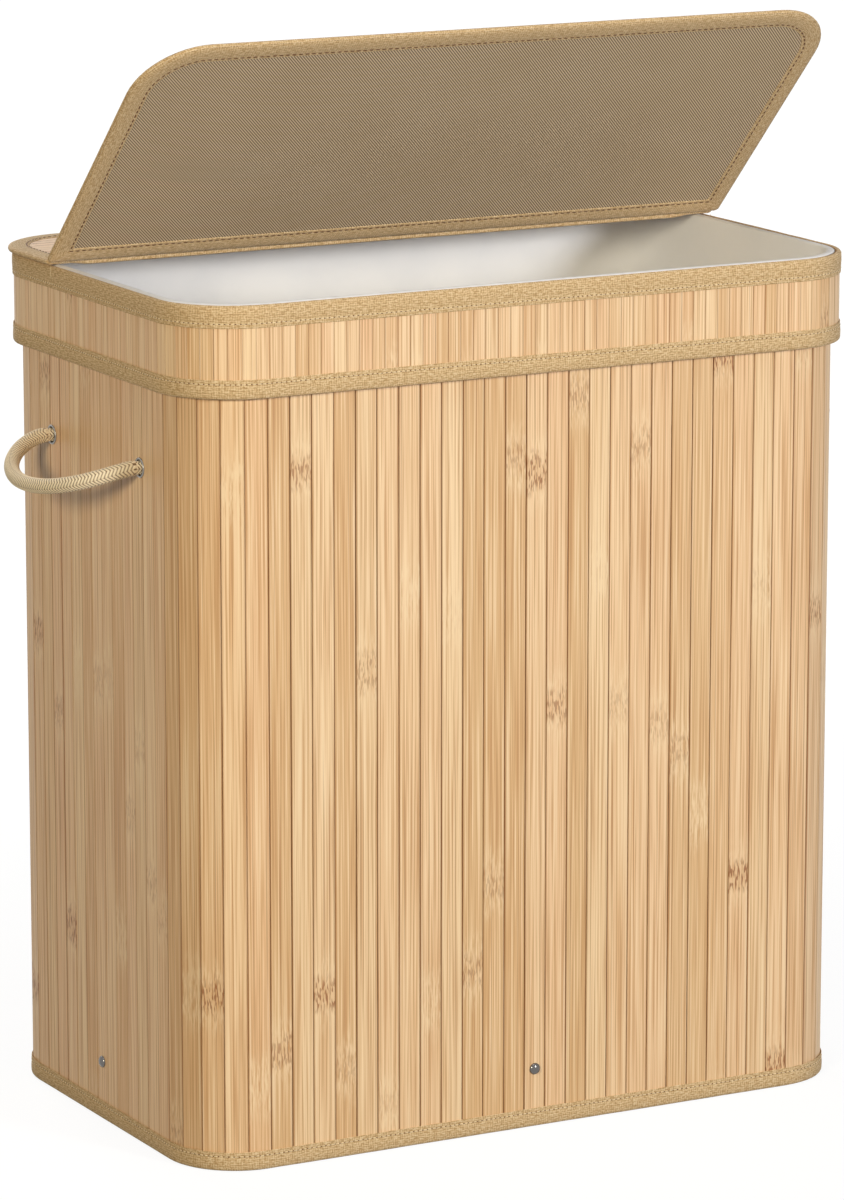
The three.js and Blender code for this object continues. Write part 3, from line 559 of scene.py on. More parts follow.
def oxford_lining(dark, light):
    """Coated Oxford cloth: heavy doubled yarns that cross in slanting rows.

    The rows of 1.3 mm are drawn 1.6 mm apart, so that they show.
    """
    material, tree = new_material("oxford_lining", Roughness=0.85, IOR=1.48)
    weave, across, along = uv_places(tree, "weave")
    turn = 2 * math.pi / (1.6 * MM)
    slant = times(tree, across, turn * 0.74)
    row = calculate(tree, "SINE", calculate(tree, "MULTIPLY_ADD", along, -turn * 0.67, slant))
    dots = calculate(tree, "SINE", calculate(tree, "MULTIPLY_ADD", along, turn * 1.3, slant))
    share = remap(tree, calculate(tree, "MULTIPLY_ADD", dots, 0.3, row), -0.9, 0.9)
    tone = mix_colour(tree, share, dark, light)
    worn = streaks(tree, weave, 9, 14)
    dress(tree, lay_over(tree, tone, worn, 0.3, 0.7, 0.22, linear("#A58C66")), share, 0.3, 0.2 * MM)
    return material


def soft_cotton(colour, shade):
    """Thin plain cotton: even and matt, with a faint mottle. Its threads are too fine to show."""
    material, tree = new_material("liner_cotton", Roughness=0.9, IOR=1.46)
    tone = lay_over(tree, colour, speckle(tree, 22.0, 4.0), 0.38, 0.7, 0.6, shade)
    dress(tree, tone, speckle(tree, 900.0, 1.0), 0.2, 0.1 * MM)
    return material


def braided_cotton(ridge, groove_shade):
    """Braided cotton: pale where a strand lies on top, and darker down between the strands, which is painted
    shade.
    """
    material, tree = new_material("braided_cotton", Roughness=0.86, IOR=1.46, Sheen_Weight=0.2)
    dress(tree, lay_over(tree, groove_shade, read_attribute(tree, "strand_height")["Fac"], 0.3, 0.85, 1.0, ridge))
    return material


def sewing_thread(name, hex_colour):
    """Spun polyester thread: plain and slightly bright."""
    material, tree = new_material(name, Roughness=0.6, IOR=1.5)
    share = remap(tree, speckle(tree, 700.0, 1.0), 0.3, 0.7, 0.75, 1.0)
    dress(tree, mix_colour(tree, share, (0, 0, 0, 1), linear(hex_colour)))
    return material


def raw_fibreboard():
    """Raw fibreboard: short flecks of pressed fibre, dull all over."""
    material, tree = new_material("raw_fibreboard", Roughness=0.85)
    dress(tree, mix_colour(tree, speckle(tree, 420.0, 3.0), linear("#94754E"), linear("#BC9C70")))
    return material


def plated_steel(name, hex_colour, roughness, haze):
    """Plated steel, with fine handling marks that only break up its gloss. Its base colour is darker than the
    bare metal: painted reflection of a dark room round it.
    """
    material, tree = new_material(name, Base_Color=linear(hex_colour), Metallic=1.0)
    gloss = remap(tree, speckle(tree, 350.0, 3.0), 0.3, 0.7, roughness, roughness + haze)
    tree.links.new(gloss, tree.nodes["Principled BSDF"].inputs["Roughness"])
    return material


def make_finishes(settings):
    """Makes every material, each with the slot of the pieces that have it."""
    colour = {key: (*getattr(settings, key), 1.0) for key in COLOUR_DEFAULTS}
    bamboo = [colour[f"bamboo_{part}"] for part in ("light", "warm", "joint")]
    linen = [colour[f"linen_{part}"] for part in ("dark", "middle", "light")]
    backing = [linear(hex_colour) for hex_colour in ("#8A5F30", "#A5763F", "#B88A52")]
    FINISHES.update(
        bamboo=("bamboo", lacquered_bamboo(*bamboo)),
        linen=("linen_tape", slub_linen("slub_linen", *linen)),
        backing=("backing_cloth", slub_linen("backing_canvas", *backing)),
        oxford=("oxford_cloth", oxford_lining(colour["lining_dark"], colour["lining_light"])),
        liner=("liner_cloth", soft_cotton(colour["liner"], linear("#F0F1F4"))),
        rope=("cotton_rope", braided_cotton(colour["rope_ridge"], colour["rope_groove_shade"])),
        thread=("linen_tape", sewing_thread("pale_thread", "#F0DAB0")),
        # Dark brown thread, also used for the painted shade of the needle holes between the pale stitches
        brown_thread=("linen_tape", sewing_thread("brown_thread", "#6B4420")),
        white_thread=("liner_cloth", sewing_thread("white_thread", "#F4F2EF")),
        board=("fibreboard", raw_fibreboard()),
        # Zinc and chrome have dark base colours: painted reflection of a dark room round the metal
        zinc=("zinc_plated_steel", plated_steel("zinc_plated_steel", "#8E8A84", 0.25, 0.15)),
        chrome=("chromed_steel", plated_steel("chromed_steel", "#6E6B68", 0.08, 0.06)),
    )


COLOUR_DEFAULTS = {
    "bamboo_light": ("Light slats", "#F1D3A8"),
    "bamboo_warm": ("Warm slats", "#EAC297"),
    # Painted shade along the slats' long edges, in the gaps where they meet
    "bamboo_joint": ("Slat joints", "#8A5826"),
    "linen_dark": ("Linen, dark slubs", "#AE8C5C"),
    "linen_middle": ("Linen", "#CFAF82"),
    "linen_light": ("Linen, light slubs", "#E3CCA4"),
    "lining_dark": ("Lining, dark yarns", "#66513A"),
    "lining_light": ("Lining, light yarns", "#EAD4B5"),
    "liner": ("Liner", "#FBFBFC"),
    "rope_ridge": ("Rope strands", "#FBEBCC"),
    # Painted shade down between the rope's strands
    "rope_groove_shade": ("Between rope strands", "#6B4820"),
}


class HamperColours(bpy.types.PropertyGroup):
    """Colours of the hamper's materials."""


for key, (label, hex_colour) in COLOUR_DEFAULTS.items():
    HamperColours.__annotations__[key] = bpy.props.FloatVectorProperty(
        name=label,
        description=f"{label}, as a linear colour",
        subtype="COLOR",
        size=3,
        min=0.0,
        max=1.0,
        default=linear(hex_colour)[:3],
    )


def setting(name, description, default, **limits):
    return bpy.props.FloatProperty(name=name, description=description, default=default, **limits)


class HamperSizes(bpy.types.PropertyGroup):
    """Sizes of the details that the solids leave out."""

    slat_gap: setting("Slat gap", "Gap between two slats", 0.3 * MM, unit="LENGTH")
    slat_edge: setting("Slat edge", "Rounding of a slat's long edges", 0.45 * MM, unit="LENGTH")
    tape_bulge: setting("Tape bulge", "How far a folded tape swells over the slats", 0.35 * MM, unit="LENGTH")
    stitch_pitch: setting("Stitch pitch", "From one stitch to the next", 3.6 * MM, unit="LENGTH")
    liner_fold: setting("Liner fold", "Depth of the liner's soft folds", 2.6 * MM, unit="LENGTH")
    strand_rise: setting("Strand rise", "How far a rope strand stands out", 0.65 * MM, unit="LENGTH")


# Slats


def slat_template(width, thickness, length, edge):
    """One slat with eased outer edges, which stands on the origin with its outer face towards -Y."""
    bpy.ops.mesh.primitive_cube_add(size=1, location=(0, thickness / 2, length / 2))
    piece = start_piece("slat")
    piece.scale = (width, thickness, length)
    bpy.ops.object.transform_apply(location=True, rotation=True, scale=True)
    with edit_mode(piece, lambda co: co.y < thickness / 4):
        bpy.ops.mesh.bevel(offset=edge, segments=2, affect="EDGES")
    mesh = piece.data
    flat_map(mesh, "grain", [0, 2])
    half = mesh.attributes.new("slat_half", "FLOAT", "FACE")
    half.data.foreach_set("value", np.full(len(mesh.polygons), width / 2, np.float32))
    return piece


def wall_slats(name, node, face, pitch, sizes, seed, joint_share=1.0):
    """A mat of upright slats round the wall. Every slat is flat, so the mat turns the corners in facets."""
    low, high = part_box(node)
    slat_gap, slat_edge = sizes.slat_gap * joint_share, sizes.slat_edge * joint_share
    total = wall_length(face)
    count = 4 * round(total / pitch / 4)
    step = total / count
    draw = random.Random(seed)
    template = slat_template(step - slat_gap, SLAT_THICKNESS, high.z - low.z, slat_edge)
    matrices, draws = [], []
    for slat in range(count):
        before, after = (round_wall(face, ((slat + half) * step) % total) for half in (-0.5, 0.5))
        chord = after - before
        turn = math.atan2(chord.y, chord.x)
        squeeze = (chord.length - slat_gap * draw.uniform(*SLAT_GAP_SPREAD)) / (step - slat_gap)
        depth = draw.uniform(0, SLAT_DEPTH_SPREAD)
        middle = (before + after) / 2 + Vector((-math.sin(turn), math.cos(turn), 0)) * depth
        middle.z = low.z
        turned = Matrix.Rotation(turn, 4, "Z") @ Matrix.Rotation(draw.uniform(-SLAT_TILT, SLAT_TILT), 4, "Z")
        matrices.append(Matrix.Translation(middle) @ turned @ Matrix.Diagonal((squeeze, 1, 1, 1)))
        draws.append((draw.random(), draw.random(), draw.random(), joint_share))
    return joined_copies(name, template, matrices, draws)


def wall_place(wall, across, height):
    """The frame of a spot on a wall: X along the wall, -Y straight out of it."""
    distance = WALL_HIGH.y if wall in ("front", "back") else WALL_HIGH.x
    turn = Matrix.Rotation(math.radians(WALLS[wall]), 4, "Z")
    return turn @ Matrix.Translation((across, -distance, height))


EYELET_PLACES = {
    f"{wall}_{end}": wall_place(wall, side * HANDLE_SPAN / 2, HANDLE_HEIGHT)
    for wall, front_side in (("left", 1), ("right", -1))
    for end, side in (("front", front_side), ("back", -front_side))
}
RIVET_PLACES = {wall: wall_place(wall, 0, RIVET_HEIGHT) for wall in WALLS}


def drill(piece):
    """Bores the holes of the eyelets and the rivets through a layer of the wall."""
    for places, radius in ((EYELET_PLACES, EYELET_BARREL), (RIVET_PLACES, RIVET_SHANK)):
        bpy.ops.mesh.primitive_cylinder_add(vertices=32, radius=radius + HOLE_CLEARANCE, depth=30 * MM)
        drills = [place @ Matrix.Rotation(math.pi / 2, 4, "X") for place in places.values()]
        cutter = joined_copies("drill", bpy.context.object, drills)
        apply_modifier(piece, "BOOLEAN", object=cutter, operation="DIFFERENCE", solver="EXACT")
        bpy.data.objects.remove(cutter)


class HAMPER_OT_wall_slats(bpy.types.Operator):
    """Makes the slat mats of the body and of the collar"""

    bl_idname = "hamper.wall_slats"
    bl_label = "Wall slats"

    def execute(self, context):
        sizes = context.scene.hamper_sizes
        mat = wall_slats("body_slat_mat", "body_slats", 0.0, SLAT_PITCH, sizes, 11)
        drill(mat)
        finish_piece(mat, "body", "bamboo", "body_slats")
        pitch = COLLAR_SLAT_PITCH
        mat = wall_slats("collar_slat_mat", "collar_slats", COLLAR_FACE, pitch, sizes, 23, COLLAR_JOINT_SHARE)
        finish_piece(mat, "lid", "bamboo", "collar_slats")
        return {"FINISHED"}


# Cloth on the walls


def wall_band(name, section, ripple=0.0, seed=1, spacing=6 * MM):
    """A band of cloth round the wall. The section is (offset, height) pairs, outside first and upwards."""
    rows = []
    for index, (offset, height) in enumerate(section):
        ring = wall_outline(offset, spacing=spacing)
        wave = ripple * ring_noise(np.linspace(0, 1, len(ring)), seed + index // 3, (7, 13, 29, 47))
        rows.append(at_height(ring + from_axis(ring) * wave[:, None] * 0.4, height + wave * 0.6))
    return woven_sheet(name, np.array(rows), CLOTH_THICKNESS)


def folded_tape(name, node, outer, inner, fold_up, bulge, seed):
    """Linen tape folded over an edge of a slat mat: round at the fold, swollen, drawn in at its free edge."""
    low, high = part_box(node)
    fold, free = (high.z - FOLD_CLEARANCE, low.z) if fold_up else (low.z, high.z)
    up = 1 if fold_up else -1
    reach = abs(fold - free)
    middle, half = (outer + inner) / 2, (outer - inner) / 2
    section = [(outer + out * MM + share * bulge, free + up * rise * MM) for out, share, rise in TAPE_SECTION]
    section.append((outer + bulge, free + up * reach * 0.55))
    section.append((outer + 0.6 * bulge, fold - up * half * 0.9))
    for angle in np.linspace(0.35, math.pi - 0.35, 6):
        drop = half * 0.8 * (1 - math.sin(angle))
        section.append((middle + half * math.cos(angle), fold - up * drop))
    section += [(inner, fold - up * half), (inner, free + up * reach * 0.4), (inner, free)]
    return wall_band(name, section[::up], TAPE_RIPPLE, seed, spacing=5 * MM)


def stitch_template(length, thread):
    """One stitch: a rod of thread with rounded ends, along X."""
    bpy.ops.mesh.primitive_uv_sphere_add(segments=6, ring_count=5, radius=0.5)
    piece = start_piece("stitch")
    piece.data.transform(Matrix.Rotation(math.pi / 2, 4, "Y"))
    piece.data.transform(Matrix.Diagonal((length, thread, thread * 0.8, 1)))
    return piece


def stitch_row(name, path, outward, pitch, length=2.7 * MM, thread=0.85 * MM, start=0.5):
    """A row of stitches along a closed path, each pressed into the cloth."""
    run = path_run(path)
    count = int(run[-1] / pitch)
    matrices = []
    for index in range(count):
        at = (index + start) / count * run[-1]
        where, ahead, behind = (Vector(interpolate(at + step * MM, run, path)) for step in (0, 1, -1))
        out = Vector(interpolate(at, run, outward)).normalized()
        along = (ahead - behind).normalized()
        side = out.cross(along).normalized()
        turn = Matrix((along, side, along.cross(side))).transposed().to_4x4()
        matrices.append(Matrix.Translation(where) @ turn)
    piece = joined_copies(name, stitch_template(length, thread), matrices)
    smooth(piece, 60)
    return piece


def wall_stitches(name, offset, height, pitch, *thread):
    """A row of stitches round the wall, on the outside of a tape or hem."""
    ring = wall_outline(offset)
    out = at_height(wall_outline(offset + 10 * MM) - ring, 0.0)
    return stitch_row(name, at_height(ring, height), out, pitch, *thread)


class HAMPER_OT_wall_cloth(bpy.types.Operator):
    """Makes the backing cloths and the folded linen tapes of the body and the collar, and their stitches"""

    bl_idname = "hamper.wall_cloth"
    bl_label = "Backing cloths and tapes"

    def execute(self, context):
        sizes = context.scene.hamper_sizes
        for part, body, face in (("body", "body", 0.0), ("collar", "lid", COLLAR_FACE)):
            low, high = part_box(f"{part}_backing")
            offset = face - SLAT_THICKNESS - BACKING_CLEARANCE
            section = [(offset, height) for height in np.linspace(low.z, high.z, 5)]
            cloth = wall_band(f"{part}_backing_cloth", section)
            if part == "body":
                drill(cloth)
            finish_piece(cloth, body, "backing", f"{part}_backing")
        collar_outer = COLLAR_FACE + TAPE_OUTER
        tapes = (
            ("base", "base_tape", "body", TAPE_OUTER, BODY_TAPE_INNER, False),
            ("rim", "rim_tape", "body", TAPE_OUTER, BODY_TAPE_INNER, True),
            ("lower", "collar_lower_tape", "lid", collar_outer, COLLAR_TAPE_INNER, False),
            ("top", "collar_top_tape", "lid", collar_outer, COLLAR_TAPE_INNER, True),
        )
        for index, (part, node, body, outer, inner, fold_up) in enumerate(tapes):
            name = node if body == "body" else f"collar_{part}"
            bulge = 0.0 if part == "rim" else sizes.tape_bulge
            tape = folded_tape(f"{name}_cloth", node, outer, inner, fold_up, bulge, 31 + 7 * index)
            finish_piece(tape, body, "linen", node)
            low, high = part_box(node)
            height = low.z + STITCH_INSET if fold_up else high.z - STITCH_INSET
            # Pale stitches, and short dark brown rods between them: painted shade of the needle holes
            for kind, finish, *thread in (
                ("stitches", "thread", 2.7 * MM, 0.85 * MM, 0.5),
                ("stitch_holes", "brown_thread", 1.2 * MM, 0.7 * MM, 0.99),
            ):
                row = wall_stitches(f"{name}_{kind}", outer + 0.02 * MM, height, sizes.stitch_pitch, *thread)
                finish_piece(row, body, finish)
        self.hinge_ends(collar_outer + sizes.tape_bulge + 0.15 * MM)
        return {"FINISHED"}

    def hinge_ends(self, offset):
        """The loose end of the hinge's seam thread, which hangs over the collar's top tape at each end."""
        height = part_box("collar_top_tape")[1].z - SEAM_END / 2
        places = []
        for side in (-1, 1):
            place = Matrix.Translation((side * (WALL_HIGH.x + offset), HINGE.y, height))
            places.append(place @ Matrix.Rotation(math.pi / 2, 4, "Y"))
        thread = joined_copies("hinge_seam_ends", stitch_template(SEAM_END, 1.0 * MM), places)
        smooth(thread, 60)
        finish_piece(thread, "lid", "thread")


# Lid panels


def panel_shape(flap):
    """Left, right, front, back and corner radii of a lid panel, from back right round to front right."""
    if flap:
        low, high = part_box("flap_binding")
        radii = [HINGE_CORNER, HINGE_CORNER, FLAP_FRONT_CORNER, FLAP_FRONT_CORNER]
        return low.x, high.x, FLAP_FRONT, HINGE.y - HINGE_CLEARANCE, radii
    low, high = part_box("rear_panel_binding")
    return low.x, high.x, low.y, high.y, [REAR_CORNER, REAR_CORNER, HINGE_CORNER, HINGE_CORNER]


def panel_binding(name, shape, seed, fold):
    """Linen binding round a panel's edge: full and rounded, and flat where the stitches hold it down."""
    half = (PANEL_TOP - PANEL_BOTTOM) / 2
    middle = (PANEL_TOP + PANEL_BOTTOM) / 2
    section = [(inset * MM, -half - rise * MM) for inset, rise in BINDING_SECTION] + [(0.0, 0.0)]
    section += [(inset, -rise) for inset, rise in section[-2::-1]]
    rows = []
    for index, (inset, rise) in enumerate(section):
        ring = rounded_outline(*shape, inset, spacing=5 * MM)
        wave = BINDING_RIPPLE * ring_noise(np.linspace(0, 1, len(ring)), seed + index // 4, (5, 11, 23, 41))
        rows.append(at_height(ring, middle + rise + wave * (1 if rise > 0 else -1)))
    points = np.array(rows)
    # The rear panel's binding folds down at the hinge line, under the flap
    inward = ease((BINDING_FOLD_END - np.abs(points[..., 0])) / BINDING_WIDTH)
    near = ease((shape[2] + 9 * MM - points[..., 1]) / (7 * MM))
    low = ease((middle + 1 * MM - points[..., 2]) / (1.5 * MM))
    points[..., 2] -= fold * inward * near * low
    return woven_sheet(name, points, CLOTH_THICKNESS)


def panel_plate(name, shape, bottom, thickness):
    """A flat layer of a panel, with its own flat size in metres as its UV map."""
    ring = rounded_outline(*shape, PANEL_INSET)[:-1]
    bpy.ops.mesh.primitive_circle_add(vertices=len(ring), radius=1, fill_type="NGON")
    piece = start_piece(name)
    piece.data.vertices.foreach_set("co", at_height(ring, bottom).astype(np.float32).ravel())
    with edit_mode(piece):
        bpy.ops.mesh.extrude_region_move(TRANSFORM_OT_translate={"value": (0, 0, thickness)})
        bpy.ops.mesh.select_all(action="SELECT")
        bpy.ops.mesh.normals_make_consistent(inside=False)
    flat_map(piece.data, "weave", [0, 1])
    return piece


def panel_slats(name, shape, bottom, sizes, seed):
    """A mat of slats that run from end to end of a panel, trimmed to the panel's outline."""
    left, right, front, back, _ = shape
    count = round((back - front) / COLLAR_SLAT_PITCH)
    step = (back - front) / count
    draw = random.Random(seed)
    length = right - left + 10 * MM
    template = slat_template(step - sizes.slat_gap, PANEL_SLAT_THICKNESS, length, sizes.slat_edge)
    lay = Matrix.Rotation(math.pi / 2, 4, "Y") @ Matrix.Rotation(-math.pi / 2, 4, "Z")
    matrices, draws = [], []
    for slat in range(count):
        place = Vector((left - 5 * MM, front + (slat + 0.5) * step, bottom + PANEL_SLAT_THICKNESS))
        matrices.append(Matrix.Translation(place) @ lay)
        draws.append((draw.random(), draw.random(), draw.random(), 1.0))
    mat = joined_copies(name, template, matrices, draws)
    trim = panel_plate("trim", shape, bottom - 5 * MM, 12 * MM)
    apply_modifier(mat, "BOOLEAN", object=trim, operation="INTERSECT", solver="EXACT")
    bpy.data.objects.remove(trim)
    return mat


def binding_stitches(name, shape, side, pitch):
    """A row of stitches that holds a binding down, on its top where side is 1 and below where it is -1."""
    height = PANEL_TOP - 0.1 * MM if side > 0 else PANEL_BOTTOM + 0.1 * MM
    path = at_height(rounded_outline(*shape, BINDING_WIDTH - BINDING_SEAM, spacing=5 * MM), height)
    outward = np.tile(np.array([0.0, 0.0, side]), (len(path), 1))
    return stitch_row(name, path, outward, pitch, 3.4 * MM, 1.25 * MM)


class HAMPER_OT_lid_panels(bpy.types.Operator):
    """Makes the slats, linings, bindings and stitches of the two lid panels, and their hinge cloth"""

    bl_idname = "hamper.lid_panels"
    bl_label = "Lid panels"

    def execute(self, context):
        sizes = context.scene.hamper_sizes
        lining_bottom, lining_top = (corner.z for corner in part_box("rear_panel_lining"))
        slat_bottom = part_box("rear_panel_slats")[0].z
        for prefix, body, is_flap in (("rear_panel", "lid", False), ("flap", "flap", True)):
            shape = panel_shape(is_flap)
            mat = panel_slats(f"{prefix}_slat_mat", shape, slat_bottom, sizes, 41 + is_flap)
            lining = panel_plate(f"{prefix}_lining_cloth", shape, lining_bottom, lining_top - lining_bottom)
            fold = 0.0 if is_flap else HINGE_FOLD
            binding = panel_binding(f"{prefix}_binding_cloth", shape, 51 + is_flap, fold)
            made = [
                (mat, "bamboo", f"{prefix}_slats"),
                (lining, "oxford", f"{prefix}_lining"),
                (binding, "linen", f"{prefix}_binding"),
            ]
            for place, side in (("top", 1), ("under", -1)):
                row = binding_stitches(f"{prefix}_{place}_stitches", shape, side, sizes.stitch_pitch * 1.35)
                made.append((row, "brown_thread"))
            for piece, finish, *nodes in made:
                if is_flap:
                    open_flap(piece)
                finish_piece(piece, body, finish, *nodes)
        self.hinge_cloth()
        return {"FINISHED"}

    def hinge_cloth(self):
        """One strip of linen glued to both panels, which bends at the hinge line."""
        low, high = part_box("hinge_tape_rear")
        width = high.y - HINGE.y
        rows = []
        for across in np.linspace(-width, width, 25):
            turn = Matrix.Rotation(-FLAP_OPEN if across < 0 else 0.0, 3, "X")
            point = turn @ Vector((0, across, PANEL_TOP + HINGE_RISE - HINGE.z))
            spots = np.linspace(low.x, high.x, 90)
            rows.append([(x, point.y + HINGE.y, point.z + HINGE.z) for x in spots])
        cloth = woven_sheet("hinge_cloth", np.array(rows), 0.4 * MM)
        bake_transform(cloth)
        finish_piece(cloth, None, "linen", "hinge_tape_rear", "hinge_tape_front")


# Liner


def liner_section(floor, top):
    """The bag from its hem over the rim to its floor: offsets of its sides and its ends, and height."""
    hem_bottom = top - HEM_DROP
    rows = [(HEM_OUTER, HEM_OUTER, hem_bottom), (HEM_OUTER, HEM_OUTER, top - 2.2 * MM)]
    middle, half = (HEM_OUTER + LINER_TOP) / 2, (HEM_OUTER - LINER_TOP) / 2
    for angle in np.linspace(0.25, math.pi - 0.25, 8):
        offset = middle + half * math.cos(angle)
        rows.append((offset, offset, top - HEM_CLEARANCE - 1.6 * MM * (1 - math.sin(angle) ** 0.4)))
    rows += [(LINER_TOP, LINER_TOP, height) for height in np.linspace(top - 4 * MM, hem_bottom, 7)]
    for share in np.linspace(0.12, 1, 8):
        side = LINER_TOP + (LINER_SIDE - LINER_TOP) * ease(share)
        end = LINER_TOP + (LINER_END - LINER_TOP) * ease(share)
        rows.append((side, end, hem_bottom - LINER_TAPER * share))
    heights = np.linspace(hem_bottom - LINER_TAPER - 12 * MM, floor + LINER_FLOOR_CURVE, 26)
    rows += [(LINER_SIDE, LINER_END, height) for height in heights]
    for angle in np.linspace(0.35, math.pi / 2, 4):
        inward = LINER_FLOOR_CURVE * (1 - math.cos(angle))
        drop = LINER_FLOOR_CURVE * (1 - math.sin(angle))
        rows.append((LINER_SIDE - inward, LINER_END - inward, floor + drop))
    return rows


class HAMPER_OT_liner(bpy.types.Operator):
    """Makes the cloth liner that hangs from the rim, and the divider between its two bins"""

    bl_idname = "hamper.liner"
    bl_label = "Liner and divider"

    def execute(self, context):
        self.bag(context.scene.hamper_sizes.liner_fold)
        self.divider()
        return {"FINISHED"}

    def bag(self, fold):
        """The bag, whose walls hang in soft folds that start under the rim and end at the floor."""
        low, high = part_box("liner_bag")
        floor = low.z + 0.6 * MM
        draw = np.random.default_rng(71)
        folds = [draw.uniform((0, 0.006, 0.3), (1, 0.014, 1.0)) for _ in range(LINER_FOLDS)]
        points = []
        for side, end, height in liner_section(floor, high.z):
            ring = wall_outline(side, end, spacing=5 * MM)
            run = path_run(ring) / path_run(ring)[-1]
            hang = np.clip((high.z - 6 * MM - height) / (90 * MM), 0, 1) if side < 0 else 0.0
            settle = np.clip((height - floor) / (30 * MM), 0, 1)
            wave = 0.5 * ring_noise(run, 5, (5, 9, 17)) + 0.5
            for centre, width, depth in folds:
                drift = centre + 0.012 * math.sin(9 * height + 40 * centre)
                gap = np.abs((run - drift + 0.5) % 1 - 0.5)
                wave += depth * np.exp(-((gap / width) ** 2))
            wave = np.clip(wave, 0, 1.6) * ease((np.abs(ring[:, 0]) - 4 * MM) / (30 * MM))
            points.append(at_height(ring - from_axis(ring) * (fold * hang * settle * wave)[:, None], height))
        points += [at_height(points[-1][:, :2] * share, floor) for share in (0.85, 0.6, 0.3, 0.0)]
        bag = woven_sheet("liner_bag_cloth", np.array(points), 0.6 * MM)
        finish_piece(bag, "liner", "liner", "liner_bag")
        seam = high.z - HEM_DROP + 6 * MM
        row = wall_stitches("liner_hem_stitches", HEM_OUTER + 0.05 * MM, seam, 3.4 * MM)
        finish_piece(row, "liner", "white_thread")

    def divider(self):
        """The wall between the bins, hemmed at its top, from the hem's edge over the fold and down."""
        low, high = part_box("liner_divider")
        hem = DIVIDER_HEM
        across = np.linspace(low.y, high.y, 61)
        path = [(sideways * MM, drop * MM) for sideways, drop in DIVIDER_FOLD]
        path += [(0.6 * MM, drop) for drop in np.linspace(hem + 14 * MM, high.z - low.z - 0.2 * MM, 40)]
        rows = []
        for sideways, drop in path:
            height = high.z - drop
            slack = np.clip(drop / (200 * MM), 0, 1) * np.clip((height - low.z) / (120 * MM), 0, 1)
            wave = np.sin(across / (47 * MM) + height * 9) * np.cos(across / (83 * MM) - height * 5)
            spots = np.column_stack([sideways + DIVIDER_SWAY * slack * wave, across])
            rows.append(at_height(spots, height))
        cloth = woven_sheet("liner_divider_cloth", np.array(rows), 1.2 * MM)
        finish_piece(cloth, "liner", "liner", "liner_divider")


# Rope handles


def strand_relief(along, angle):
    """Height from 0 to 1 of a braid: bands of strands round the rope, which slant by turns."""
    band = angle / (2 * np.pi) * STRAND_BANDS
    part = band - np.floor(band)
    slant = np.where(np.floor(band) % 2 == 0, part, 1 - part)
    strand = np.abs(np.sin(np.pi * (along / STRAND_PITCH + slant * 1.1))) ** 0.6
    seam = np.clip(np.minimum(part, 1 - part) / 0.14, 0, 1) ** 0.5
    return strand * (0.8 + 0.2 * seam)


def rope_tube(name, path, radii, rise, step=0.45 * MM, sides=60):
    """A braided rope along a path, with its ends closed."""
    run = path_run(path)
    at = np.linspace(0, run[-1], int(run[-1] / step) + 1)
    centre = interpolate(at, run, path)
    radius = np.interp(at, run, radii)
    tangent = np.gradient(centre, axis=0)
    tangent /= np.linalg.norm(tangent, axis=1, keepdims=True)
    side = np.cross(tangent[0], (0.0, 0.0, 1.0))
    turns = np.linspace(0, 2 * np.pi, sides + 1)
    rows, heights = [], []
    for index, forward in enumerate(tangent):
        side = side - forward * (side @ forward)
        side = side / np.linalg.norm(side)
        relief = strand_relief(at[index], turns % (2 * np.pi))
        reach = radius[index] - rise * (1 - relief)
        circle = np.cos(turns)[:, None] * side + np.sin(turns)[:, None] * np.cross(forward, side)
        rows.append(centre[index] + circle * reach[:, None])
        heights.append(relief)
    for end, way in ((0, -1), (-1, 1)):
        out, tip = rows[end] - centre[end], tangent[end] * way * radius[end]
        angles = np.linspace(0, math.pi / 2, 6)[1:]
        cap = [centre[end] + out * math.cos(angle) + tip * math.sin(angle) for angle in angles]
        rows = rows + cap if end else cap[::-1] + rows
        heights = heights + [heights[end]] * 5 if end else [heights[end]] * 5 + heights
    return closed_shell(name, np.array(rows), 80, heights=np.array(heights))


def handle_path(side):
    """Centreline of a rope loop, half an ellipse that droops. Side is -1 at the left."""
    angles = np.linspace(0, math.pi, 121)
    out = np.sin(angles)
    x = side * (WALL_HIGH.x + HANDLE_PIVOT + HANDLE_REACH * out)
    y = -HANDLE_SPAN / 2 * np.cos(angles)
    return np.column_stack([x, y, HANDLE_HEIGHT - HANDLE_DROP * np.maximum(out, 0) ** HANDLE_SAG_SHARE])


def knot_path():
    """The rope through an eyelet along Y and the trefoil knot behind it, with the radius at each point."""
    stub = [(0, out, 0) for out in np.linspace(-4.7 * MM, 4.2 * MM, 8)]
    turns = np.linspace(0.25, 2 * math.pi - 0.25, 70)
    x = KNOT_SIZE * (np.sin(turns) + 2 * np.sin(2 * turns))
    y = KNOT_MIDDLE - KNOT_DEPTH * np.cos(3 * turns)
    z = KNOT_SIZE * (np.cos(turns) - 2 * np.cos(2 * turns))
    radii = np.repeat([STUB_RADIUS, KNOT_RADIUS], [len(stub), len(turns)])
    return np.concatenate([stub, np.column_stack([x, y, z])]), radii


class HAMPER_OT_rope_handles(bpy.types.Operator):
    """Makes the two braided rope loops and the knots that hold them behind the wall"""

    bl_idname = "hamper.rope_handles"
    bl_label = "Rope handles"

    def execute(self, context):
        rise = context.scene.hamper_sizes.strand_rise
        for name, side in (("left", -1), ("right", 1)):
            path = handle_path(side)
            rope = rope_tube(f"rope_loop_{name}", path, np.full(len(path), ROPE_RADIUS + 0.15 * MM), rise)
            finish_piece(rope, f"handle_{name}", "rope", f"rope_handle_{name}")
        path, radii = knot_path()
        for name, place in EYELET_PLACES.items():
            knot = rope_tube(f"rope_knot_{name}", path, radii, rise, step=0.6 * MM, sides=36)
            knot.data.transform(place)
            finish_piece(knot, "body", "rope", f"knot_{name}")
        return {"FINISHED"}


# Hardware


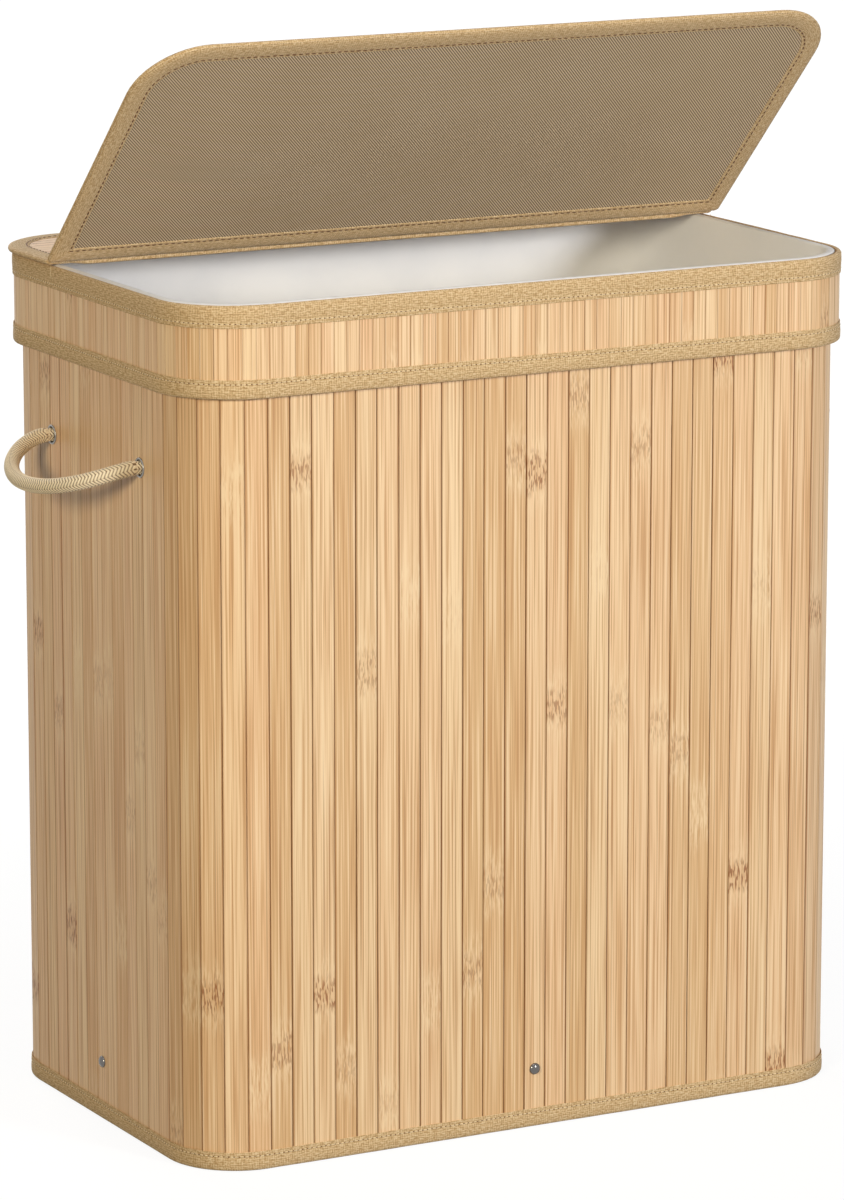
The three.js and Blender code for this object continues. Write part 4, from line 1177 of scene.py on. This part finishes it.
def turned_part(name, profile):
    """Turns a profile of (radius, distance into the wall) pairs round its axis, which runs into the wall."""
    turns = np.linspace(0, 2 * math.pi, 49)
    rows = [[(radius * math.cos(t), depth, radius * math.sin(t)) for t in turns] for radius, depth in profile]
    return closed_shell(name, np.array(rows), 35, merge=2e-6)


class HAMPER_OT_hardware(bpy.types.Operator):
    """Makes the eyelets and the domed rivets, and gives the boards and brackets their finish"""

    bl_idname = "hamper.hardware"
    bl_label = "Eyelets, rivets, boards and brackets"

    def execute(self, context):
        middle, half = (EYELET_BORE + EYELET_FLANGE) / 2, (EYELET_FLANGE - EYELET_BORE) / 2
        eyelet = [
            (middle - half * math.cos(angle), -0.25 * MM - 0.85 * MM * math.sin(angle))
            for angle in np.linspace(0, math.pi, 11)
        ]
        near, far = EYELET_BACK - 0.3 * MM, EYELET_BACK + 0.3 * MM
        eyelet += [(EYELET_BARREL, -0.25 * MM), (EYELET_BARREL, near), (EYELET_FLANGE, near)]
        eyelet += [(EYELET_FLANGE - 0.4 * MM, far), (EYELET_BORE, far), eyelet[0]]
        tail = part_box("rivet_front")[1].y + WALL_HIGH.y
        rivet = [
            (RIVET_HEAD * math.sin(angle), -0.1 * MM - RIVET_DOME * math.cos(angle))
            for angle in np.linspace(0, math.pi / 2, 10)
        ]
        rivet += [(RIVET_SHANK, -0.1 * MM), (RIVET_SHANK, tail - 1 * MM), (RIVET_TAIL, tail - 1 * MM)]
        rivet += [(RIVET_TAIL - 0.4 * MM, tail), (0.0, tail)]
        for node, made, profile, places, finish in (
            ("eyelet", "eyelet_ring", eyelet, EYELET_PLACES, "zinc"),
            ("rivet", "rivet_dome", rivet, RIVET_PLACES, "chrome"),
        ):
            for name, place in places.items():
                piece = turned_part(f"{made}_{name}", profile)
                piece.data.transform(place)
                finish_piece(piece, "body", finish, f"{node}_{name}")
        boards = {node: "board" for node in ("base_board", "rear_panel_board", "flap_board")}
        for node, finish in (boards | {f"bracket_{wall}": "zinc" for wall in WALLS}).items():
            mesh = frame["nodes"][node].data
            mesh.materials.clear()
            mesh.materials.append(FINISHES[finish][1])
        return {"FINISHED"}


# Stage


class HamperStage(bpy.types.PropertyGroup):
    """Light and camera of the stage."""

    key_power: setting("Key light", "Power of the large soft light at the right", 80.0, unit="POWER")
    fill_power: setting("Fill light", "Power of the soft light at the left", 54.0, unit="POWER")
    back_power: setting("Back light", "Power of the soft light behind", 56.0, unit="POWER")
    top_power: setting("Top light", "Power of the soft light overhead", 14.0, unit="POWER")
    sky: setting("Sky", "Level of the even light all round", 0.06, min=0.0)
    lens: setting("Lens", "Focal length over a 36 mm long side", 174.0, min=20.0)


class HAMPER_OT_camera(bpy.types.Operator):
    """Makes the camera, at the photograph's viewing angle"""

    bl_idname = "hamper.camera"
    bl_label = "Camera"

    def execute(self, context):
        data = bpy.data.cameras.new("camera")
        camera = bpy.data.objects.new("camera", data)
        context.scene.collection.objects.link(camera)
        data.sensor_width = 36.0
        data.lens = context.scene.hamper_stage.lens
        data.clip_start, data.clip_end = 0.05, 50.0
        camera.location = CAMERA_PLACE
        level = math.cos(CAMERA_PITCH)
        look = (-math.sin(CAMERA_YAW) * level, math.cos(CAMERA_YAW) * level, -math.sin(CAMERA_PITCH))
        camera.rotation_mode = "QUATERNION"
        camera.rotation_quaternion = Vector(look).to_track_quat("-Z", "Y")
        context.scene.camera = camera
        return {"FINISHED"}


def seen_rays(tree):
    """1 for rays that show the stage to the camera or in metal, and 0 for those that light the hamper."""
    path = add_node(tree, "LightPath").outputs
    return calculate(tree, "MAXIMUM", path["Is Camera Ray"], path["Is Glossy Ray"])


def area_light(name, power, place, target, size, colour):
    """A round soft lamp that points at a target."""
    bpy.ops.object.light_add(type="AREA", location=place)
    lamp = bpy.context.object
    lamp.name = name
    lamp.data.shape = "DISK"
    lamp.data.size = size
    lamp.data.energy = power
    lamp.data.color = linear(colour)[:3]
    lamp.rotation_mode = "QUATERNION"
    lamp.rotation_quaternion = (Vector(target) - Vector(place)).to_track_quat("-Z", "Y")


class HAMPER_OT_stage(bpy.types.Operator):
    """Makes the pale floor, the even sky and the studio lights"""

    bl_idname = "hamper.stage"
    bl_label = "Stage"

    def execute(self, context):
        settings = context.scene.hamper_stage
        self.floor()
        self.sky(context.scene, settings.sky)
        for name, lamp in LAMPS.items():
            area_light(f"{name}_light", getattr(settings, f"{name}_power"), *lamp)
        context.scene.view_settings.view_transform = "Standard"
        return {"FINISHED"}

    def floor(self):
        """A matt floor that is seen as white further out, and keeps the hamper's shadow near it."""
        bpy.ops.mesh.primitive_plane_add(size=120, location=(0, 0, -0.2 * MM))
        floor = start_piece("studio_floor")
        material, tree = new_material("matt_white_floor", Roughness=0.95)
        glow = add_node(tree, "Emission", {"Color": (1, 1, 1, 1), "Strength": 1.05})
        seen = seen_rays(tree)
        dress(tree, mix_colour(tree, seen, linear("#6C6A66"), linear("#FAFAFA")))
        spot = add_node(tree, "TexCoord").outputs["Object"]
        away = add_node(tree, "VectorMath", {0: spot}, operation="LENGTH").outputs["Value"]
        white = remap(tree, away, 0.4, 1.6, 0.86, 1.0, interpolation_type="SMOOTHSTEP")
        matt = tree.nodes["Principled BSDF"].outputs[0]
        mixed = add_node(tree, "MixShader", {0: times(tree, seen, white), 1: matt, 2: glow.outputs[0]})
        tree.links.new(mixed.outputs[0], tree.nodes["Material Output"].inputs[0])
        floor.data.materials.append(material)

    def sky(self, scene, level):
        """A world that is white where it is seen, and dim and warm where it lights."""
        scene.world = bpy.data.worlds.new("even_sky")
        scene.world.use_nodes = True
        tree = scene.world.node_tree
        sky = tree.nodes["Background"].inputs
        seen = seen_rays(tree)
        tree.links.new(remap(tree, seen, 0.0, 1.0, level, 1.0), sky["Strength"])
        tree.links.new(mix_colour(tree, seen, linear("#FFF8EE"), (1, 1, 1, 1)), sky["Color"])


class HAMPER_PT_build(bpy.types.Panel):
    """Lists the hamper's pieces, sizes and colours"""

    bl_label = "Bamboo laundry hamper"
    bl_idname = "HAMPER_PT_build"
    bl_space_type = "VIEW_3D"
    bl_region_type = "UI"
    bl_category = "Hamper"

    def draw(self, context):
        for operator in BUILD_ORDER:
            self.layout.operator(operator.bl_idname)
        for group in GROUPS:
            settings = getattr(context.scene, group)
            for key in settings.__class__.__annotations__:
                self.layout.prop(settings, key)


BUILD_ORDER = (
    HAMPER_OT_camera,
    HAMPER_OT_rope_handles,
    HAMPER_OT_wall_slats,
    HAMPER_OT_wall_cloth,
    HAMPER_OT_lid_panels,
    HAMPER_OT_liner,
    HAMPER_OT_hardware,
    HAMPER_OT_stage,
)
GROUPS = {"hamper_sizes": HamperSizes, "hamper_colours": HamperColours, "hamper_stage": HamperStage}


def register():
    for name, group in GROUPS.items():
        bpy.utils.register_class(group)
        setattr(bpy.types.Scene, name, bpy.props.PointerProperty(type=group))
    for operator in BUILD_ORDER:
        bpy.utils.register_class(operator)
    bpy.utils.register_class(HAMPER_PT_build)


def unregister():
    bpy.utils.unregister_class(HAMPER_PT_build)
    for operator in reversed(BUILD_ORDER):
        bpy.utils.unregister_class(operator)
    for name, group in GROUPS.items():
        delattr(bpy.types.Scene, name)
        bpy.utils.unregister_class(group)


def main():
    register()
    make_finishes(bpy.context.scene.hamper_colours)
    for operator in BUILD_ORDER:
        family, action = operator.bl_idname.split(".")
        getattr(getattr(bpy.ops, family), action)()


if __name__ == "__main__":
    main()
